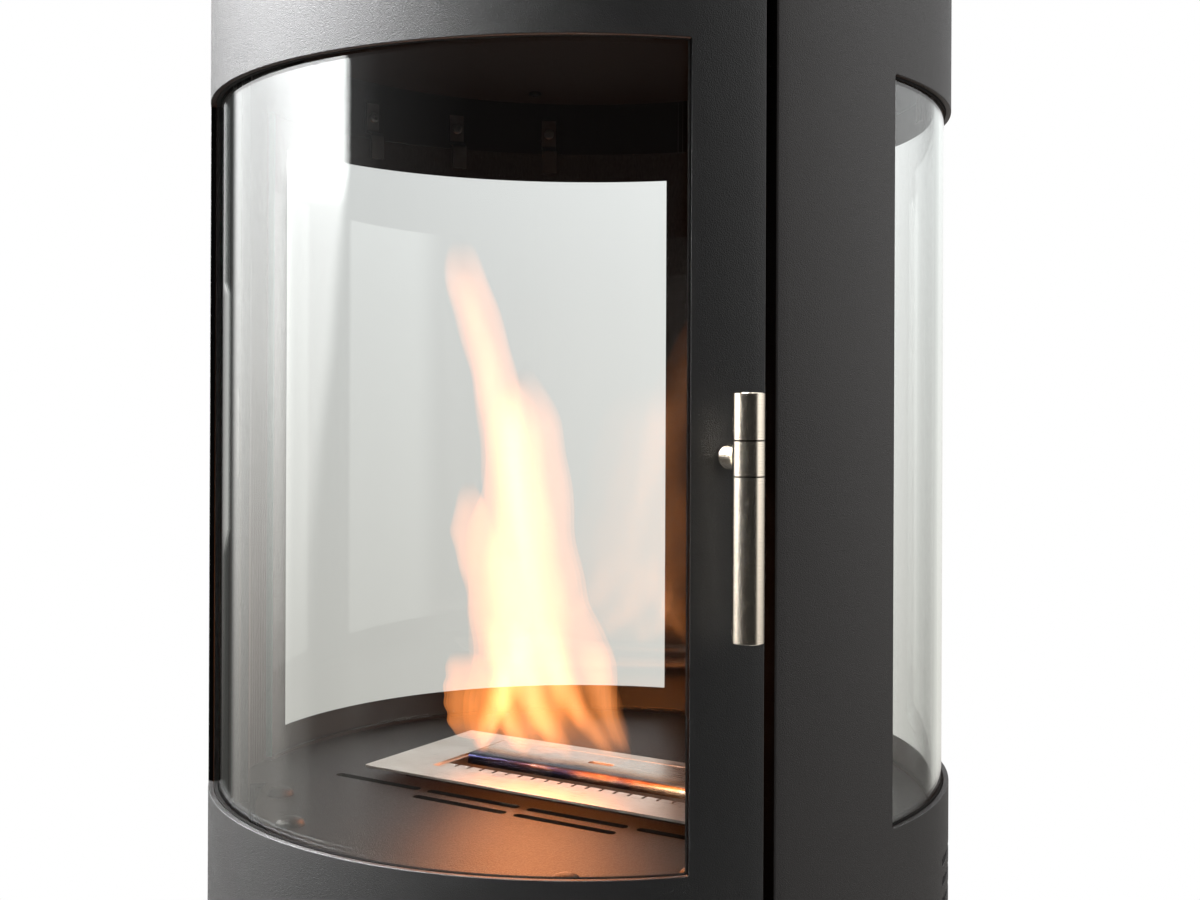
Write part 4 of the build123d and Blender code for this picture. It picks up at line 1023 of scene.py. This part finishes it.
TONGUES = {
    "flame_body": [
        tongue([(748, 470, 626, 0.0), (731, 462, 628, 0.25), (705, 463, 621, 0.42), (672, 468, 616, 0.5),
                (640, 471, 617, 0.5), (610, 468, 612, 0.5), (592, 466, 598, 0.5), (558, 464, 590, 0.5),
                (525, 470, 579, 0.5), (490, 482, 573, 0.5), (455, 487, 568, 0.5), (422, 484, 563, 0.48),
                (400, 487, 553, 0.45), (378, 500, 543, 0.4), (362, 516, 538, 0.3)], 14, 0.4, 0.3, True, 0.5),
        tongue([(748, 492, 560, 0.2), (731, 484, 578, 0.5), (705, 480, 588, 0.8), (675, 479, 588, 1.1),
                (640, 480, 583, 1.3), (600, 480, 575, 1.45), (560, 482, 566, 1.5), (520, 488, 559, 1.4),
                (480, 490, 553, 1.25), (440, 490, 547, 1.05), (405, 494, 539, 0.8), (372, 506, 533, 0.5)],
               16, 0.4, 1.1, folds=2.0),
        tongue([(560, 492, 536, 0.0), (480, 484, 532, 0.25), (440, 480, 530, 0.4), (404, 474, 524, 0.42),
                (376, 468, 518, 0.42), (331, 457, 505, 0.42), (290, 446, 489, 0.42), (255, 443, 479, 0.4),
                (236, 446, 474, 0.3)], 12, 0.5, 1.9, True, 0.4),
        tongue([(560, 496, 536, 0.0), (480, 490, 532, 0.5), (430, 484, 524, 0.75), (390, 476, 512, 0.65),
                (340, 466, 498, 0.5), (300, 454, 482, 0.35), (262, 450, 474, 0.2)], 11, 0.5, 0.7, folds=0.8)],
    "flame_licks": [
        tongue([(736, 458, 480, 0.3), (720, 447, 490, 0.7), (700, 443, 496, 0.75), (680, 443, 494, 0.6),
                (662, 446, 488, 0.45), (648, 450, 482, 0.3)], 10, 0.6, 3.0, True),
        tongue([(665, 470, 510, 0.1), (600, 466, 506, 0.4), (558, 457, 500, 0.5), (530, 452, 496, 0.45),
                (505, 456, 488, 0.4), (478, 461, 476, 0.3)], 10, 0.6, 4.1, True),
        tongue([(752, 474, 486, 0.0), (740, 472, 492, 0.8), (720, 476, 504, 1.6), (695, 484, 520, 1.3),
                (665, 494, 534, 0.8), (625, 506, 546, 0.3)], 9, 0.5, 0.9),
        tongue([(756, 520, 530, 0.0), (742, 508, 532, 0.5), (722, 496, 526, 1.2), (698, 486, 518, 1.1),
                (660, 482, 510, 0.7), (610, 480, 502, 0.3)], 9, 0.5, 2.4),
        tongue([(758, 562, 574, 0.0), (745, 546, 574, 0.4), (724, 528, 566, 1.1), (698, 514, 550, 1.2),
                (660, 504, 540, 0.8), (610, 500, 530, 0.3)], 9, 0.5, 5.2),
        tongue([(757, 606, 618, 0.0), (745, 594, 616, 0.3), (724, 572, 606, 0.8), (698, 552, 590, 1.1),
                (660, 536, 574, 0.8), (610, 530, 560, 0.3)], 9, 0.5, 0.2),
        tongue([(750, 616, 632, 0.0), (735, 604, 632, 0.4), (705, 588, 622, 0.6), (672, 578, 617, 0.5),
                (635, 574, 614, 0.3)], 9, 0.6, 3.6)],
}
flames = []
for name, tongues in TONGUES.items():
    points, faces = joined([shape[:2] for shape in tongues])
    flame = new_mesh(name, points, [faces], smooth=180)
    first, _ = distinct(points)
    flames.append((flame, np.concatenate([heat for *_, heat in tongues])[first]))
    print(name, len(flame.data.polygons), "faces, top at", round(points[:, 2].max(), 3))

# %% [markdown]
# The skins' colour is stored on the mesh: the inner skins are pale yellow, the outer ones orange, and near the
# burner all of them redder and dimmer, with blue at the foot where the vapour first burns.

# %% Flame colour
FLAME_VEIL = 0.001
RIM, CORE, BLUE = np.array([1.0, 0.28, 0.055]), np.array([1.0, 0.56, 0.30]), np.array([0.0012, 0.0018, 0.009])
LESS_PALE, BLUE_LEVEL, BLUE_RUN = 0.42, 546, 8

flame_finish = bpy.data.materials.new("flame_glow")
tree = emptied(flame_finish)
stored = add(tree, "Attribute", attribute_name="glow").outputs["Color"]
shine = add(tree, "Emission", {"Color": stored, "Strength": 1.0})
mix = add(tree, "MixShader", {0: FLAME_VEIL, 1: add(tree, "BsdfTransparent").outputs[0], 2: shine.outputs[0]})
add(tree, "OutputMaterial", {"Surface": mix.outputs[0]})
flame_finish.cycles.emission_sampling = "NONE"
for flame, heat in flames:
    inner, power, level = heat.T[:, :, None]
    pale = inner * (1 - LESS_PALE * np.clip((PALE_LEVEL - level) / LEVEL_RUN, 0, 1))
    foot = np.clip((BLUE_LEVEL - level) / BLUE_RUN, 0, 1)
    glow = ((RIM + (CORE - RIM) * pale) * power * (1 - foot) + foot * BLUE) / FLAME_VEIL
    colour = flame.data.color_attributes.new("glow", "FLOAT_COLOR", "POINT")
    colour.data.foreach_set("color", np.column_stack([glow, np.ones(len(glow))]).astype(np.float32).ravel())
    flame.data.materials.append(flame_finish)
    flame.visible_shadow = False
    flame.visible_diffuse = False
    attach(flame, "burner")
    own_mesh(flame)
print("flame dressed")

# %% [markdown]
# The flame throws an orange glow on the floor, the ceiling and the burner. A small lamp inside it, which rides
# the burner, gives this. Seen in the panes it would be a hard ball of light, so light linking lets it reach
# only the steel, not the glass. A real flame is a tall body whose light reaches in under the tray's rim, so the
# burner itself is left out of what shades the lamp.

# %% Light of the fire
def linked(name, cad_nodes, pieces):
    """A collection of CAD nodes, given by name, and pieces made here."""
    made = bpy.data.collections.new(name)
    for piece in [nodes[node] for node in cad_nodes] + pieces:
        made.objects.link(piece)
    return made


fire_light = bpy.data.lights.new("fire_light", "POINT")
fire_light.color = (1.0, 0.27, 0.045)
fire_light.energy = 1.35
fire_light.shadow_soft_size = 0.065
fire_lamp = bpy.data.objects.new("fire_light", fire_light)
scene.collection.objects.link(fire_lamp)
fire_lamp.location = (-0.035, -0.005, 0.62)
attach(fire_lamp, "burner")
fire_lamp.visible_camera = False
fire_lamp.visible_transmission = False
fire_lamp.light_linking.receiver_collection = linked(
    "lit_by_fire",
    ["chamber_floor", "heat_baffle", "burner_deck", "side_clips", "side_seal_left", "side_seal_right"],
    [door_sheet, casing_sheet, tray_top, lid_sheet, cap_domes])
fire_lamp.light_linking.blocker_collection = linked(
    "shades_the_fire", ["chamber_floor", "heat_baffle", "heat_shield"], [door_sheet, casing_sheet])
